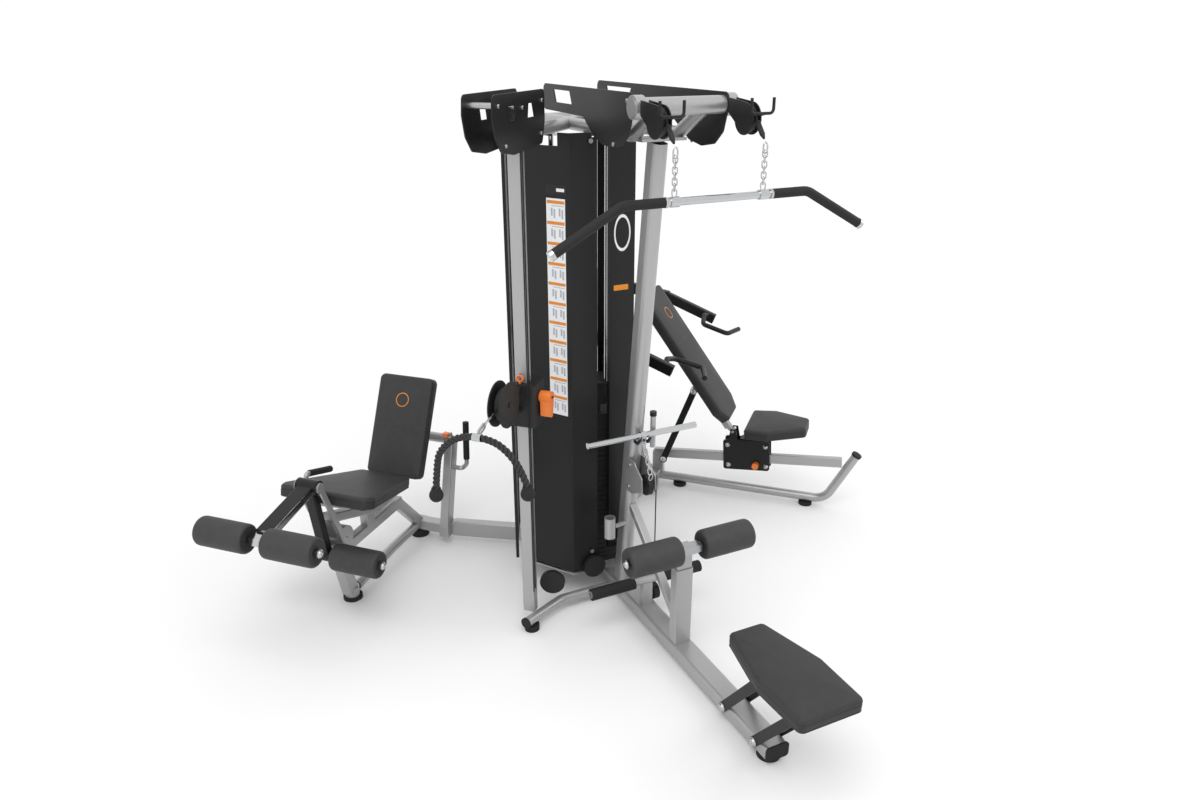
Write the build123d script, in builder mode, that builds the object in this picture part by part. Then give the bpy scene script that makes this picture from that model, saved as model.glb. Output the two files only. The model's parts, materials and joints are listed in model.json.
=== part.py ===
# Multi station home gym: one tower of four weight stacks serving a pulldown and row
# station, an adjustable pulley column, a seated leg machine and a reclining press.
# Units are millimetres, +Z is up, the floor is Z = 0.
from build123d import *
import math
import os

os.makedirs("parts", exist_ok=True)

# ---------------------------------------------------------------- driving dimensions
ROW_X, ROW_Y = 114.8, 334.5     # tower centre seen from the row origin
HEIGHT = 2147.0                 # top edge of the arm plates
TUBE_WALL = 3.0
BEAM_W, BEAM_H = 90.0, 55.0     # pulldown base beam
BEAM_LOW = 20.0
ARM_W, ARM_H, ARM_LOW = 45.0, 80.0, 26.0
LEG_OFFSET = -820.0             # leg machine plane from the tower centre
PRESS_OFFSET = 820.0
COLUMN_U = 640.0
TOP_TUBE_Z = 2000.0
ROD_D = 19.0
STACK_L, STACK_D, STACK_LOW = 170.0, 100.0, 112.0
PLATE_H, PLATE_N = 24.0, 27
HEAD_H = 72.0
PAD_T = 60.0
ROLLER_D, ROLLER_L = 115.0, 217.0
BAR_D, GRIP_D = 25.0, 32.0

TOWER = Location((ROW_X, ROW_Y, 0))
LAT = TOWER * Location((0, 0, 0), (0, 0, -90))
COL = TOWER * Location((0, 0, 0), (0, 0, 225))
DIAG = math.sqrt(0.5)
LEG = TOWER * Location((LEG_OFFSET * DIAG, -LEG_OFFSET * DIAG, 0), (0, 0, 225))
PRESS = TOWER * Location((PRESS_OFFSET * DIAG, PRESS_OFFSET * DIAG, 0), (0, 0, 315))
STACKS = {
    "lat": TOWER * Location((-45, -262, 0), (0, 0, 0)),
    "column": TOWER * Location((-238, -138, 0), (0, 0, -60)),
    "leg": TOWER * Location((-166, 50, 0), (0, 0, -114)),
    "press": TOWER * Location((166, 84, 0), (0, 0, 64)),
}


# ---------------------------------------------------------------- helpers
def rod(a, b, d, bore=0.0):
    """Round bar or tube from a to b."""
    a, b = Vector(*a), Vector(*b)
    plane = Plane(origin=a, z_dir=b - a)
    ring = Circle(d / 2)
    if bore:
        ring = ring - Circle(bore / 2)
    return extrude(plane * ring, (b - a).length)


def bar(a, b, w, h, r=0.0, wall=0.0, up=(0, 0, 1)):
    """Rectangular bar or tube from a to b, w across and h along the up side."""
    a, b, up = Vector(*a), Vector(*b), Vector(*up)
    along = (b - a).normalized()
    if up.cross(along).length < 0.01:
        up = Vector(1, 0, 0)
    across = up.cross(along).normalized()
    plane = Plane(origin=a, x_dir=across, z_dir=along)
    face = RectangleRounded(w, h, r) if r else Rectangle(w, h)
    if wall:
        inner = Rectangle(w - 2 * wall, h - 2 * wall)
        if r > wall + 0.5:
            inner = RectangleRounded(w - 2 * wall, h - 2 * wall, r - wall)
        face = face - inner
    return extrude(plane * face, (b - a).length)


def block(lo, hi):
    """Box between two corners."""
    size = [hi[i] - lo[i] for i in range(3)]
    mid = [(hi[i] + lo[i]) / 2 for i in range(3)]
    return Pos(*mid) * Box(*size)


def pipe(points, d, bend, bore=0.0):
    """Round tube along points, rounded at each corner."""
    line = FilletPolyline(*points, radius=bend)
    start = Plane(origin=line @ 0, z_dir=line % 0)
    ring = Circle(d / 2)
    if bore:
        ring = ring - Circle(bore / 2)
    return sweep(start * ring, path=line)


def side_plate(points, v, t, holes=(), rounding=0.0):
    """Plate of thickness t centred on v, outlined by (u, z) points."""
    face = make_face(Polyline(*points, close=True))
    if rounding:
        face = fillet(face.vertices(), rounding)
    for hole in holes:
        face = face - make_face(Polyline(*hole, close=True))
    plane = Plane(origin=(0, v + t / 2, 0), x_dir=(1, 0, 0), z_dir=(0, -1, 0))
    return extrude(plane * face, t)


def wall_sheet(points, t, low, high):
    """Folded sheet: a line of (x, y) points given thickness t to its left."""
    outer = [Vector(*p) for p in points]
    inner = []
    for i, p in enumerate(outer):
        before = (p - outer[i - 1]).normalized() if i else (outer[1] - p).normalized()
        after = (outer[i + 1] - p).normalized() if i < len(outer) - 1 else before
        n = Vector(-before.Y - after.Y, before.X + after.X)
        n = n.normalized()
        inner.append(p + n * (t / n.dot(Vector(-before.Y, before.X))))
    ring = [(p.X, p.Y) for p in outer] + [(p.X, p.Y) for p in reversed(inner)]
    return extrude(Plane.XY.offset(low) * make_face(Polyline(*ring, close=True)), high - low)


def pad(points, low, t, rounding, plane=Plane.XY):
    """Cushion outlined by points on a plane, low to low + t along its normal."""
    face = make_face(Polyline(*points, close=True))
    face = fillet(face.vertices(), rounding)
    body = extrude(plane.offset(low) * face, t)
    return fillet(body.edges().filter_by(GeomType.LINE, reverse=False)
                  .filter_by(lambda e: abs((e % 0.5).dot(plane.z_dir)) < 0.1), 9)


def place(loc, *shapes):
    return [loc * s for s in shapes]


# ---------------------------------------------------------------- base frame
beam = bar((-190, 0, BEAM_LOW + BEAM_H / 2), (1570, 0, BEAM_LOW + BEAM_H / 2),
           BEAM_W, BEAM_H, 12, TUBE_WALL)
beam_cap = bar((1570, 0, BEAM_LOW + BEAM_H / 2), (1573, 0, BEAM_LOW + BEAM_H / 2),
               BEAM_W, BEAM_H, 12)
arm_mid = ARM_LOW + ARM_H / 2
LEG_END, PRESS_END = (-548.0, 374.0), (548.0, 374.0)
CLAMP_U, CLAMP_V = 124.0, 166.0
arms = []
for end in (LEG_END, PRESS_END):
    run = Vector(*end).normalized()
    first = run * 82
    arms.append(bar((first.X, first.Y, arm_mid), (end[0], end[1], arm_mid),
                    ARM_W, ARM_H, 8, TUBE_WALL))
tower_plate = extrude(Plane.XY.offset(106) * make_face(Polyline(
    (-205, -355), (50, -355), (60, -330), (70, -120), (250, -70), (300, 60), (230, 190),
    (-230, 190), (-290, 60), (-360, -125), close=True)), 6)
standoffs = [bar((0, y, 75), (0, y, 106), 60, 60) for y in (-300, -60, 150)]
leg_side = TOWER.inverse() * LEG * block((-200, -400, 0), (500, CLAMP_V + 24, 200))
press_side = TOWER.inverse() * PRESS * block((-200, -CLAMP_V - 24, 0), (500, 400, 200))
arms = [arms[0] - leg_side, arms[1] - press_side]

base_frame_set = place(LAT, beam, beam_cap)
base_frame_set += place(TOWER, *arms, tower_plate, *standoffs)
with BuildPart() as base_frame:
    add(base_frame_set)

# ---------------------------------------------------------------- mast and column
LEAN = 0.1218


def mast_u(z):
    return 410 + LEAN * z


mast_foot = BEAM_LOW + BEAM_H
mast_tube = bar((mast_u(mast_foot), 0, mast_foot), (mast_u(1975), 0, 1975),
                56, 90, 27, TUBE_WALL, up=(1, 0, -LEAN))
mast_tube = mast_tube - block((300, -40, 0), (900, 40, mast_foot))
mast_core = bar((mast_u(0), 0, 0), (mast_u(2000), 0, 2000), 56.2, 90.2, 27, 0, up=(1, 0, -LEAN))

mast_set = place(LAT, mast_tube)
with BuildPart() as mast:
    add(mast_set)

column_tube = bar((COLUMN_U, 0, 68), (COLUMN_U, 0, 1976), 50, 40, 4, TUBE_WALL, up=(1, 0, 0))
foot_tube = pipe([(-494, -512, 47), (-296, -418, 47), (-46, -418, 47)], 42, 90, 36)
foot_plug = rod((-494, -512, 47), (-490.4, -510.3, 47), 36)

column_set = place(COL, column_tube)
column_set += place(TOWER, foot_tube, foot_plug)
with BuildPart() as column:
    add(column_set)

# ---------------------------------------------------------------- top frame
side_pipes = [pipe([(-130, v, TOP_TUBE_Z), (640, v, TOP_TUBE_Z), (818, v, 2104)], 48, 90, 42)
              for v in (-88, 88)]
cross = rod((820, -196, 2106), (820, 196, 2106), 60)
tail = rod((-130, -112, TOP_TUBE_Z), (-130, 112, TOP_TUBE_Z), 48)
mast_cap = block((600, -88, 1982), (700, 88, 1992))
column_arm = rod((60, 0, TOP_TUBE_Z), (690, 0, TOP_TUBE_Z), 48, 42)
collars = [rod((820, s * 156, 2106), (820, s * 192, 2106), 76) for s in (-1, 1)]

top_frame_set = place(LAT, *side_pipes, cross, tail, mast_cap, *collars)
top_frame_set += place(COL, column_arm)
with BuildPart() as top_frame:
    add(top_frame_set)

LEFT_EDGE = [(0, 2147), (762, 2147), (756, 2085), (732, 2015), (684, 1972), (612, 1958),
             (532, 1962), (456, 1986), (398, 2026), (372, 2046), (0, 2050)]
RIGHT_EDGE = [(-146, 2147), (854, 2147), (850, 2088), (828, 2018), (778, 1974), (696, 1960),
              (610, 1974), (540, 2014), (488, 2044), (-146, 2050)]
LEFT_WINDOW = [(120, 2082), (270, 2082), (250, 2128), (100, 2128)]
RIGHT_WINDOW = [(-40, 2082), (130, 2082), (160, 2128), (-60, 2128)]
lat_plate_a = side_plate(LEFT_EDGE, -153, 5, [LEFT_WINDOW], 24)
lat_plate_b = side_plate(RIGHT_EDGE, 153, 5, [RIGHT_WINDOW], 24)
lat_plate_b = lat_plate_b - rod((820, 140, 2106), (820, 170, 2106), 60)

lat_top_plates_set = place(LAT, lat_plate_a, lat_plate_b)
with BuildPart() as lat_top_plates:
    add(lat_top_plates_set)

COLUMN_EDGE = [(500, 2147), (922, 2147), (930, 2084), (912, 2016), (868, 1966), (770, 1950),
               (525, 1964), (500, 2040)]
COLUMN_WINDOW = [(590, 2060), (650, 2060), (642, 2106), (606, 2106)]
COLUMN_WINDOW_B = [(745, 2060), (795, 2060), (805, 2106), (755, 2106)]
column_plates = [side_plate(COLUMN_EDGE, v, 5, [COLUMN_WINDOW, COLUMN_WINDOW_B], 20)
                 for v in (-52, 52)]
spacers = [rod((u, -49.5, z), (u, 49.5, z), 20) for u, z in ((888, 2112), (530, 2110))]
head_sheave = rod((700, -12, 2096), (700, 12, 2096), 62)
head_axle = rod((700, -49.5, 2096), (700, 49.5, 2096), 12)

column_top_plates_set = place(COL, *column_plates, *spacers, head_sheave, head_axle)
with BuildPart() as column_top_plates:
    add(column_top_plates_set)

# ---------------------------------------------------------------- shrouds
SHEET = 3.0
front_sheet = wall_sheet([(-100, -350), (-100, -374), (-214, -374), (-343, -171)],
                         -SHEET, 132, 1990)
front_sheet = front_sheet - Location((0, 0, 0), (0, 0, 225)) * block((200, -62, 1942),
                                                                     (800, 62, 2100))
front_sheet = front_sheet - block((-122, -400, 1972), (-60, -340, 2000))
shroud_front_set = place(TOWER, front_sheet)
with BuildPart() as shroud_front:
    add(shroud_front_set)
shroud_side_set = place(TOWER, wall_sheet([(62, -350), (62, -374), (-45, -374), (-45, -350)],
    -SHEET, 215, 1972))
with BuildPart() as shroud_side:
    add(shroud_side_set)
shroud_leg_set = place(TOWER, wall_sheet([(-384, -150), (-396, -144), (-268, 146), (-248, 137)],
    -SHEET, 132, 1990))
with BuildPart() as shroud_leg:
    add(shroud_leg_set)
shroud_press_set = place(TOWER, wall_sheet([(176, 196), (184, 214), (330, 142), (214, -92), (196, -83)],
    -SHEET, 132, 1990))
with BuildPart() as shroud_press:
    add(shroud_press_set)

# ---------------------------------------------------------------- weight stacks
STACK_TOP = STACK_LOW + PLATE_H * PLATE_N


def stack_plates():
    core = block((-STACK_L / 2 + 2, -STACK_D / 2 + 2, STACK_LOW),
                 (STACK_L / 2 - 2, STACK_D / 2 - 2, STACK_TOP))
    for i in range(PLATE_N):
        low = STACK_LOW + i * PLATE_H
        core = core + block((-STACK_L / 2, -STACK_D / 2, low),
                            (STACK_L / 2, STACK_D / 2, low + PLATE_H - 3))
    return core - stack_rods(ROD_D + 3)


def stack_rods(d):
    return [rod((s * 60, 0, STACK_LOW), (s * 60, 0, 1966), d) for s in (-1, 1)]


def stack_head():
    low = STACK_TOP + 0.4
    head = block((-STACK_L / 2, -STACK_D / 2, low), (STACK_L / 2, STACK_D / 2, low + HEAD_H))
    head = head + rod((0, 0, low + HEAD_H), (0, 0, low + HEAD_H + 40), 22)
    head = head + block((-20, -16, low + HEAD_H + 30), (20, 16, low + HEAD_H + 39))
    for y in (-14, 14):
        head = head + block((-20, y - 2, low + HEAD_H + 30), (20, y + 2, low + HEAD_H + 105))
    head = head + rod((0, -12, low + HEAD_H + 85), (0, 12, low + HEAD_H + 85), 84)
    head = head + rod((0, -17, low + HEAD_H + 85), (0, 17, low + HEAD_H + 85), 14)
    for rods in [rod((s * 60, 0, 0), (s * 60, 0, 2000), ROD_D + 0.1) for s in (-1, 1)]:
        head = head - rods
    return head


plates, head, rods = stack_plates(), stack_head(), stack_rods(ROD_D)
bridges = [block((-80, -16, 1966), (80, 16, 1974))]

weight_stacks_set = []
for loc in STACKS.values():
    weight_stacks_set += place(loc, plates)
with BuildPart() as weight_stacks:
    add(weight_stacks_set)
guide_rods_set = []
for loc in STACKS.values():
    guide_rods_set += place(loc, *rods, *bridges)
with BuildPart() as guide_rods:
    add(guide_rods_set)
lat_head_set = place(STACKS["lat"], head)
with BuildPart() as lat_head:
    add(lat_head_set)
column_head_set = place(STACKS["column"], head)
with BuildPart() as column_head:
    add(column_head_set)
leg_head_set = place(STACKS["leg"], head)
with BuildPart() as leg_head:
    add(leg_head_set)
press_head_set = place(STACKS["press"], head)
with BuildPart() as press_head:
    add(press_head_set)

# ---------------------------------------------------------------- pulldown pulleys
PULLEY_V, PULLEY_U, PULLEY_Z = 165.0, 950.0, 2070.0


def lat_pulley(v):
    outline = [(858.2, 2130), (952, 2122), (952, 2020), (858.2, 2084)]
    cheeks = [side_plate(outline, v + s * 15, 4)
              + rod((PULLEY_U, v + s * 15 - 2, PULLEY_Z), (PULLEY_U, v + s * 15 + 2, PULLEY_Z), 104)
              for s in (-1, 1)]
    cheeks.append(block((858.2, v - 13, 2092), (866, v + 13, 2122)))
    cheeks.append(rod((PULLEY_U, v - 13, PULLEY_Z), (PULLEY_U, v - 9, PULLEY_Z), 20))
    cheeks.append(rod((PULLEY_U, v + 9, PULLEY_Z), (PULLEY_U, v + 13, PULLEY_Z), 20))
    sheave = rod((PULLEY_U, v - 9, PULLEY_Z), (PULLEY_U, v + 9, PULLEY_Z), 88)
    hook = pipe([(1028, v - 42, 2138), (1028, v - 42, 2090), (1028, v + 42, 2090),
                 (1028, v + 42, 2138)], 10, 14)
    arm = [rod((999, v + s * 15, 2084), (1024, v + s * 15, 2089), 9) for s in (-1, 1)]
    return [*cheeks, sheave, hook, *arm]


lat_pulleys_set = []
for v in (-PULLEY_V, PULLEY_V):
    lat_pulleys_set += place(LAT, *lat_pulley(v))
with BuildPart() as lat_pulleys:
    add(lat_pulleys_set)

# ---------------------------------------------------------------- pulldown bar
BAR_U, BAR_Z = 1056.0, 1841.0
BEND_V, END_V, DROP = 345.0, 585.0, 131.0
bar_line = [(BAR_U, -END_V, BAR_Z - DROP), (BAR_U, -BEND_V, BAR_Z), (BAR_U, BEND_V, BAR_Z),
            (BAR_U, END_V, BAR_Z - DROP)]
bar_tube = pipe(bar_line, BAR_D, 70, 18)
bar_ends = []
for s in (-1, 1):
    tip = Vector(BAR_U, s * END_V, BAR_Z - DROP)
    back = (Vector(BAR_U, s * BEND_V, BAR_Z) - tip).normalized()
    bar_ends.append(rod(tuple(tip), tuple(tip + back * 14), GRIP_D + 2))
bar_collars = [rod((BAR_U, s * PULLEY_V - 16, BAR_Z), (BAR_U, s * PULLEY_V + 16, BAR_Z), 33)
               for s in (-1, 1)]
bar_rings = [rod((BAR_U, s * 196 - 4, BAR_Z), (BAR_U, s * 196 + 4, BAR_Z), 34) for s in (-1, 1)]

lat_bar_set = place(LAT, bar_tube + bar_ends + bar_collars + bar_rings)
with BuildPart() as lat_bar:
    add(lat_bar_set)

grips = []
for s in (-1, 1):
    line = [(BAR_U, s * 201, BAR_Z), (BAR_U, s * BEND_V, BAR_Z)]
    tip = Vector(BAR_U, s * END_V, BAR_Z - DROP)
    back = (Vector(BAR_U, s * BEND_V, BAR_Z) - tip).normalized()
    line.append(tuple(tip + back * 14.5))
    grips.append(pipe(line, GRIP_D, 70, BAR_D))

lat_grips_set = place(LAT, *grips)
with BuildPart() as lat_grips:
    add(lat_grips_set)


def chain(top, low, n):
    """Welded chain of n links from top to low, as overlapping oval rings."""
    top, low = Vector(*top), Vector(*low)
    pitch = (top - low).length / n
    down = (low - top).normalized()
    links = []
    for i in range(n):
        mid = top + down * pitch * (i + 0.5)
        side = Vector(0, 1, 0) if i % 2 else down.cross(Vector(0, 1, 0)).normalized()
        plane = Plane(origin=mid, x_dir=side, z_dir=down.cross(side))
        h = pitch / 2 + 1.1
        ring = SlotOverall(2 * h, 15, rotation=90) - SlotOverall(2 * h - 8, 7, rotation=90)
        links.append(extrude(plane * ring, 1.8, both=True))
    return links


chains = []
for v in (-PULLEY_V, PULLEY_V):
    chains += chain((BAR_U, v, 1998), (BAR_U, v, 1859.2), 7)
    chains.append(rod((1008, v, 2060), (1050, v, 2010), 17))
    chains.append(rod((1050, v, 2010), (1055, v, 1996.5), 6))

lat_chains_set = place(LAT, *chains)
with BuildPart() as lat_chains:
    add(lat_chains_set)

# ---------------------------------------------------------------- row station
LOW_U, LOW_Z = 622.0, 640.0
row_tube = rod((584, -245, 834), (584, 245, 834), BAR_D, 18)
row_ends = [rod((584, s * 242, 834), (584, s * 245, 834), 20) for s in (-1, 1)]
row_collar = rod((584, -11, 834), (584, 11, 834), 32)

row_bar_set = place(LAT, row_tube + row_ends + row_collar)
with BuildPart() as row_bar:
    add(row_bar_set)
row_chain_set = place(LAT, *chain((591, 0, 813), (652, 0, 676), 7))
with BuildPart() as row_chain:
    add(row_chain_set)

cheek_edge = [(510, 715), (576, 715), (590, 700), (640, 668), (646, 612), (560, 567), (496, 567)]
cheeks = [side_plate(cheek_edge, s * 31, 5, (), 8) for s in (-1, 1)]
low_sheave = [rod((LOW_U, -10, LOW_Z - 10), (LOW_U, 10, LOW_Z - 10), 86),
              rod((LOW_U, -28.5, LOW_Z - 10), (LOW_U, 28.5, LOW_Z - 10), 14)]
rest_post = [rod((556, 62, 760), (556, 62, 897), 22),
             rod((556, 62, 897), (556, 62, 915), 28),
             rod((mast_u(780), 20, 780), (556, 62, 780), 12) - mast_core]
rests = []
for s in (-1, 1):
    rests.append(pipe([(556.6, s * 22, 800), (584, s * 22, 800), (606, s * 22, 826)], 12, 10))
drop_pulley = [rod((585, 54, 88), (585, 80, 88), 72), rod((585, 45.2, 88), (585, 54, 88), 24),
               block((575, 45.2, 50), (595, 52, 100))]

low_pulley_set = place(LAT, *cheeks, low_sheave[0] + low_sheave[1], rest_post[0] + rest_post[1]
    + rest_post[2], *rests, drop_pulley[0] + drop_pulley[1] + drop_pulley[2])
with BuildPart() as low_pulley:
    add(low_pulley_set)

# ---------------------------------------------------------------- foot bar, brace, socket
FOOT_U, FOOT_Z = 640.0, 190.0
foot_rod = rod((FOOT_U, -262, FOOT_Z), (FOOT_U, 262, FOOT_Z), 30, 24)
foot_stand = block((FOOT_U - 14, -22, 75), (FOOT_U + 14, 22, FOOT_Z - 8))
foot_stand = foot_stand - rod((FOOT_U, -30, FOOT_Z), (FOOT_U, 30, FOOT_Z), 28)
brace_bar = bar((mast_u(480) + 38, 0, 480), (925, 0, 136), 32, 32, 4, TUBE_WALL)
brace_bar = brace_bar - mast_core
brace_bar = brace_bar - block((894.8, -60, 0), (1000, 60, 600))

foot_bar_set = place(LAT, foot_rod + foot_stand, brace_bar)
with BuildPart() as foot_bar:
    add(foot_bar_set)

socket = rod((495, -101, 346), (495, -101, 440), 47, 38)
stub = rod((mast_u(393) + 25, -10, 393), (495, -79, 393), 20) - mast_core

socket_tube_set = place(LAT, socket + stub)
with BuildPart() as socket_tube:
    add(socket_tube_set)

# ---------------------------------------------------------------- knee hold
KNEE_U, KNEE_Z = 970.0, 522.0
post = bar((920, 0, 75), (920, 0, 412), 72, 50, 5, TUBE_WALL, up=(1, 0, 0))
slider = bar((920, 0, 240), (920, 0, 500), 64, 42, 4, TUBE_WALL, up=(1, 0, 0))
slider = slider + block((899, -32, 500), (985, 32, 508)) + block((950, -42, 508), (990, 42, 536))
axle_hub = 42.0
axles = rod((KNEE_U, -axle_hub - ROLLER_L - 10, KNEE_Z), (KNEE_U, axle_hub + ROLLER_L + 10,
                                                        KNEE_Z), 20)
stops = [rod((KNEE_U, s * 42, KNEE_Z), (KNEE_U, s * 48, KNEE_Z), 34) for s in (-1, 1)]
stops += [rod((KNEE_U, s * 266, KNEE_Z), (KNEE_U, s * 270, KNEE_Z), 34) for s in (-1, 1)]

knee_post_set = place(LAT, post)
with BuildPart() as knee_post:
    add(knee_post_set)
knee_slide_set = place(LAT, slider + axles + stops)
with BuildPart() as knee_slide:
    add(knee_slide_set)


def roller(u, v, z, length=ROLLER_L, d=ROLLER_D):
    body = rod((u, v - length / 2, z), (u, v + length / 2, z), d)
    body = fillet(body.edges(), 11)
    return body - rod((u, v - length, z), (u, v + length, z), 20.1)


KNEE_V = 48.5 + ROLLER_L / 2
knee_roller_left_set = place(LAT, roller(KNEE_U, -KNEE_V, KNEE_Z))
with BuildPart() as knee_roller_left:
    add(knee_roller_left_set)
knee_roller_right_set = place(LAT, roller(KNEE_U, KNEE_V, KNEE_Z))
with BuildPart() as knee_roller_right:
    add(knee_roller_right_set)

# ---------------------------------------------------------------- pulldown seat
SEAT_TOP = 420.0
SEAT_EDGE = [(1351, -70), (1603, -128), (1822, -122), (1822, 122), (1603, 128), (1351, 70)]
lat_seat_set = place(LAT, pad(SEAT_EDGE, SEAT_TOP - PAD_T, PAD_T, 16))
with BuildPart() as lat_seat:
    add(lat_seat_set)

links = []
for s in (-1, 1):
    for u in (1305, 1500):
        lean = 0.78
        low, top = (u, s * 49, 46), (u + lean * 290, s * 49, 336)
        links.append(bar(low, top, 8, 36, 0, 0, up=(1, 0, -lean)))
frame_rail = [bar((1490, s * 49, 350), (1770, s * 49, 350), 8, 20) for s in (-1, 1)]
rungs = [rod((u, -45, 318), (u, 45, 318), 20) for u in (1517, 1712)]

seat_links_set = []
pieces = links[0]
for piece in links[1:] + frame_rail + rungs:
    pieces = pieces + piece
seat_links_set += place(LAT, pieces)
with BuildPart() as seat_links:
    add(seat_links_set)

# ---------------------------------------------------------------- cable carriage
CAR_Z, CAR_LOW, CAR_HIGH = 1010.0, 925.0, 1095.0
WHEEL_U, WHEEL_Z = 822.0, 1068.0
SWIVEL_U, SWIVEL_Z = 718.0, 1040.0
housing = block((580, -32, CAR_LOW), (688, 64, CAR_HIGH))
housing = fillet(housing.edges().filter_by(Axis.Z), 12)
for low in (SWIVEL_Z - 49, SWIVEL_Z + 36):
    ear = rod((SWIVEL_U, 0, low), (SWIVEL_U, 0, low + 13), 28)
    housing = housing + (ear + block((670, -14, low), (SWIVEL_U, 14, low + 13)))
housing = housing - rod((SWIVEL_U, 0, 900), (SWIVEL_U, 0, 1200), 12.1)
housing = housing - block((COLUMN_U - 20.5, -25.5, 800), (COLUMN_U + 20.5, 25.5, 1200))
housing = housing - rod((671, 0, CAR_HIGH - 34), (671, 0, CAR_HIGH + 10), 9)
LEVER_U, LEVER_Z = 629.0, 1038.0
housing = housing + rod((LEVER_U, 64, LEVER_Z), (LEVER_U, 116, LEVER_Z), 10)

carriage_set = place(COL, housing)
with BuildPart() as carriage:
    add(carriage_set)

lever_edge = [(606, 1030), (650, 1030), (648, 962), (622, 955), (612, 1000)]
lever = side_plate(lever_edge, 92, 40, (), 8)
lever = lever + rod((LEVER_U, 67, LEVER_Z), (LEVER_U, 113, LEVER_Z), 46)
lever = lever - rod((LEVER_U, 40, LEVER_Z), (LEVER_U, 130, LEVER_Z), 10.1)
carriage_lever_set = place(COL, lever)
with BuildPart() as carriage_lever:
    add(carriage_lever_set)

ring = Torus(12, 3.6).rotate(Axis.Y, 90).moved(Location((671, 0, CAR_HIGH + 20)))
ring = ring + rod((671, 0, CAR_HIGH - 20), (671, 0, CAR_HIGH + 6), 8.9)
carriage_pin_set = place(COL, ring)
with BuildPart() as carriage_pin:
    add(carriage_pin_set)

wheels = [rod((WHEEL_U, s * 20, WHEEL_Z), (WHEEL_U, s * 25, WHEEL_Z), 172) for s in (-1, 1)]
sheave = rod((WHEEL_U, -20, WHEEL_Z), (WHEEL_U, 20, WHEEL_Z), 60)
sheave = sheave + rod((WHEEL_U, -9, WHEEL_Z), (WHEEL_U, 9, WHEEL_Z), 120)
wheel_nose = [rod((WHEEL_U, -30, WHEEL_Z), (WHEEL_U, 30, WHEEL_Z), 20)]
neck = block((SWIVEL_U, -13, SWIVEL_Z - 35), (766, 13, SWIVEL_Z + 35))
neck = neck + block((740, -20.5, SWIVEL_Z - 30), (766, 20.5, SWIVEL_Z + 30))
neck = neck + rod((SWIVEL_U, 0, SWIVEL_Z - 35), (SWIVEL_U, 0, SWIVEL_Z + 35), 26)
neck = neck + rod((SWIVEL_U, 0, SWIVEL_Z - 48), (SWIVEL_U, 0, SWIVEL_Z + 48), 12)
neck = neck - rod((WHEEL_U, -9.6, WHEEL_Z), (WHEEL_U, 9.6, WHEEL_Z), 124)

swivel_pulley_set = place(COL, wheels[0] + wheels[1] + sheave + wheel_nose[0] + neck)
with BuildPart() as swivel_pulley:
    add(swivel_pulley_set)

# ---------------------------------------------------------------- pull rope
ROPE_U, ROPE_Z, ROPE_D = 1042.0, 1030.0, 25.0
hook_a = pipe([(905, 0, 1062), (960, 0, 1056), (985, 0, 1050)], 9, 60)
hook_b = extrude(Plane(origin=(1006, 0, 1045), x_dir=(0.97, 0, -0.24), z_dir=(0, 1, 0))
                 * (SlotOverall(60, 24) - SlotOverall(46, 10)), 3.5, both=True)
ferrule = rod((ROPE_U, -16, ROPE_Z - 2), (ROPE_U, 16, ROPE_Z - 2), 29)
carabiner_set = place(COL, hook_a, hook_b, ferrule)
with BuildPart() as carabiner:
    add(carabiner_set)

ROPE_PATHS = []
for s, low, spread in ((-1, 812.0, 176.0), (1, 868.0, 184.0)):
    ROPE_PATHS.append([
        (ROPE_U, s * 18.5, ROPE_Z - 2), (ROPE_U, s * 62, ROPE_Z - 7),
        (ROPE_U + 4, s * 108, ROPE_Z - 32), (ROPE_U + 4, s * 142, ROPE_Z - 68),
        (ROPE_U, s * 164, ROPE_Z - 112), (ROPE_U, s * spread, low)])


def cord_radii(points, limit):
    """Largest bend radius each corner allows."""
    out = []
    for i in range(1, len(points) - 1):
        a = Vector(*points[i]) - Vector(*points[i - 1])
        b = Vector(*points[i + 1]) - Vector(*points[i])
        turn = math.radians(a.get_angle(b))
        out.append(max(limit, 0.45 * min(a.length, b.length) / math.tan(turn / 2)))
    return out


strands = []
for points in ROPE_PATHS:
    radii = cord_radii(points, 3 * ROPE_D)
    print("rope radii", [round(r) for r in radii])
    line = FilletPolyline(*points, radius=radii)
    strands.append(sweep(Plane(origin=line @ 0, z_dir=line % 0) * Circle(ROPE_D / 2), path=line))

rope_set = place(COL, *strands)
with BuildPart() as rope:
    add(rope_set)

ends = []
for points in ROPE_PATHS:
    u, v, z = points[-1]
    ball = Pos(u, v, z - 26) * Sphere(26.5)
    ball = ball - block((u - 40, v - 40, z - 4), (u + 40, v + 40, z + 40))
    ends.append(ball)
rope_ends_set = place(COL, *ends)
with BuildPart() as rope_ends:
    add(rope_ends_set)

# ---------------------------------------------------------------- leg machine frame
PIVOT_U, PIVOT_Z = 928.0, 647.0
rail_main = bar((300, 0, 268), (800, 0, 268), 40, 50, 6)
rail_rise = bar((128, 0, 60), (310, 0, 258), 40, 50, 6)
rail_drop = bar((742, 0, 44), (792, 0, 262), 50, 60, 6, 0, up=(1, 0, -0.25))
rail_floor = pipe([(150, 0, 62), (380, 0, 62), (690, 0, 40)], 44, 120)
front_foot = rod((730, 0, 16), (730, 0, 60), 64)
cross_rear = bar((CLAMP_U + 6, -30, 64), (CLAMP_U + 6, CLAMP_V - 24, 64), 60, 50, 6)
seat_tube = pipe([(500, 0, 322), (330, 0, 322), (190, 0, 400), (150, 0, 470)], 34, 70)
seat_rail = bar((480, 0, 330), (836, 0, 458), 50, 40, 5)
seat_prop = bar((560, 0, 290), (560, 0, 350), 40, 60, 4)
neck_prop = bar((776, 0, 262), (822, 0, 450), 50, 44, 5, 0, up=(1, 0, -0.25))
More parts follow.
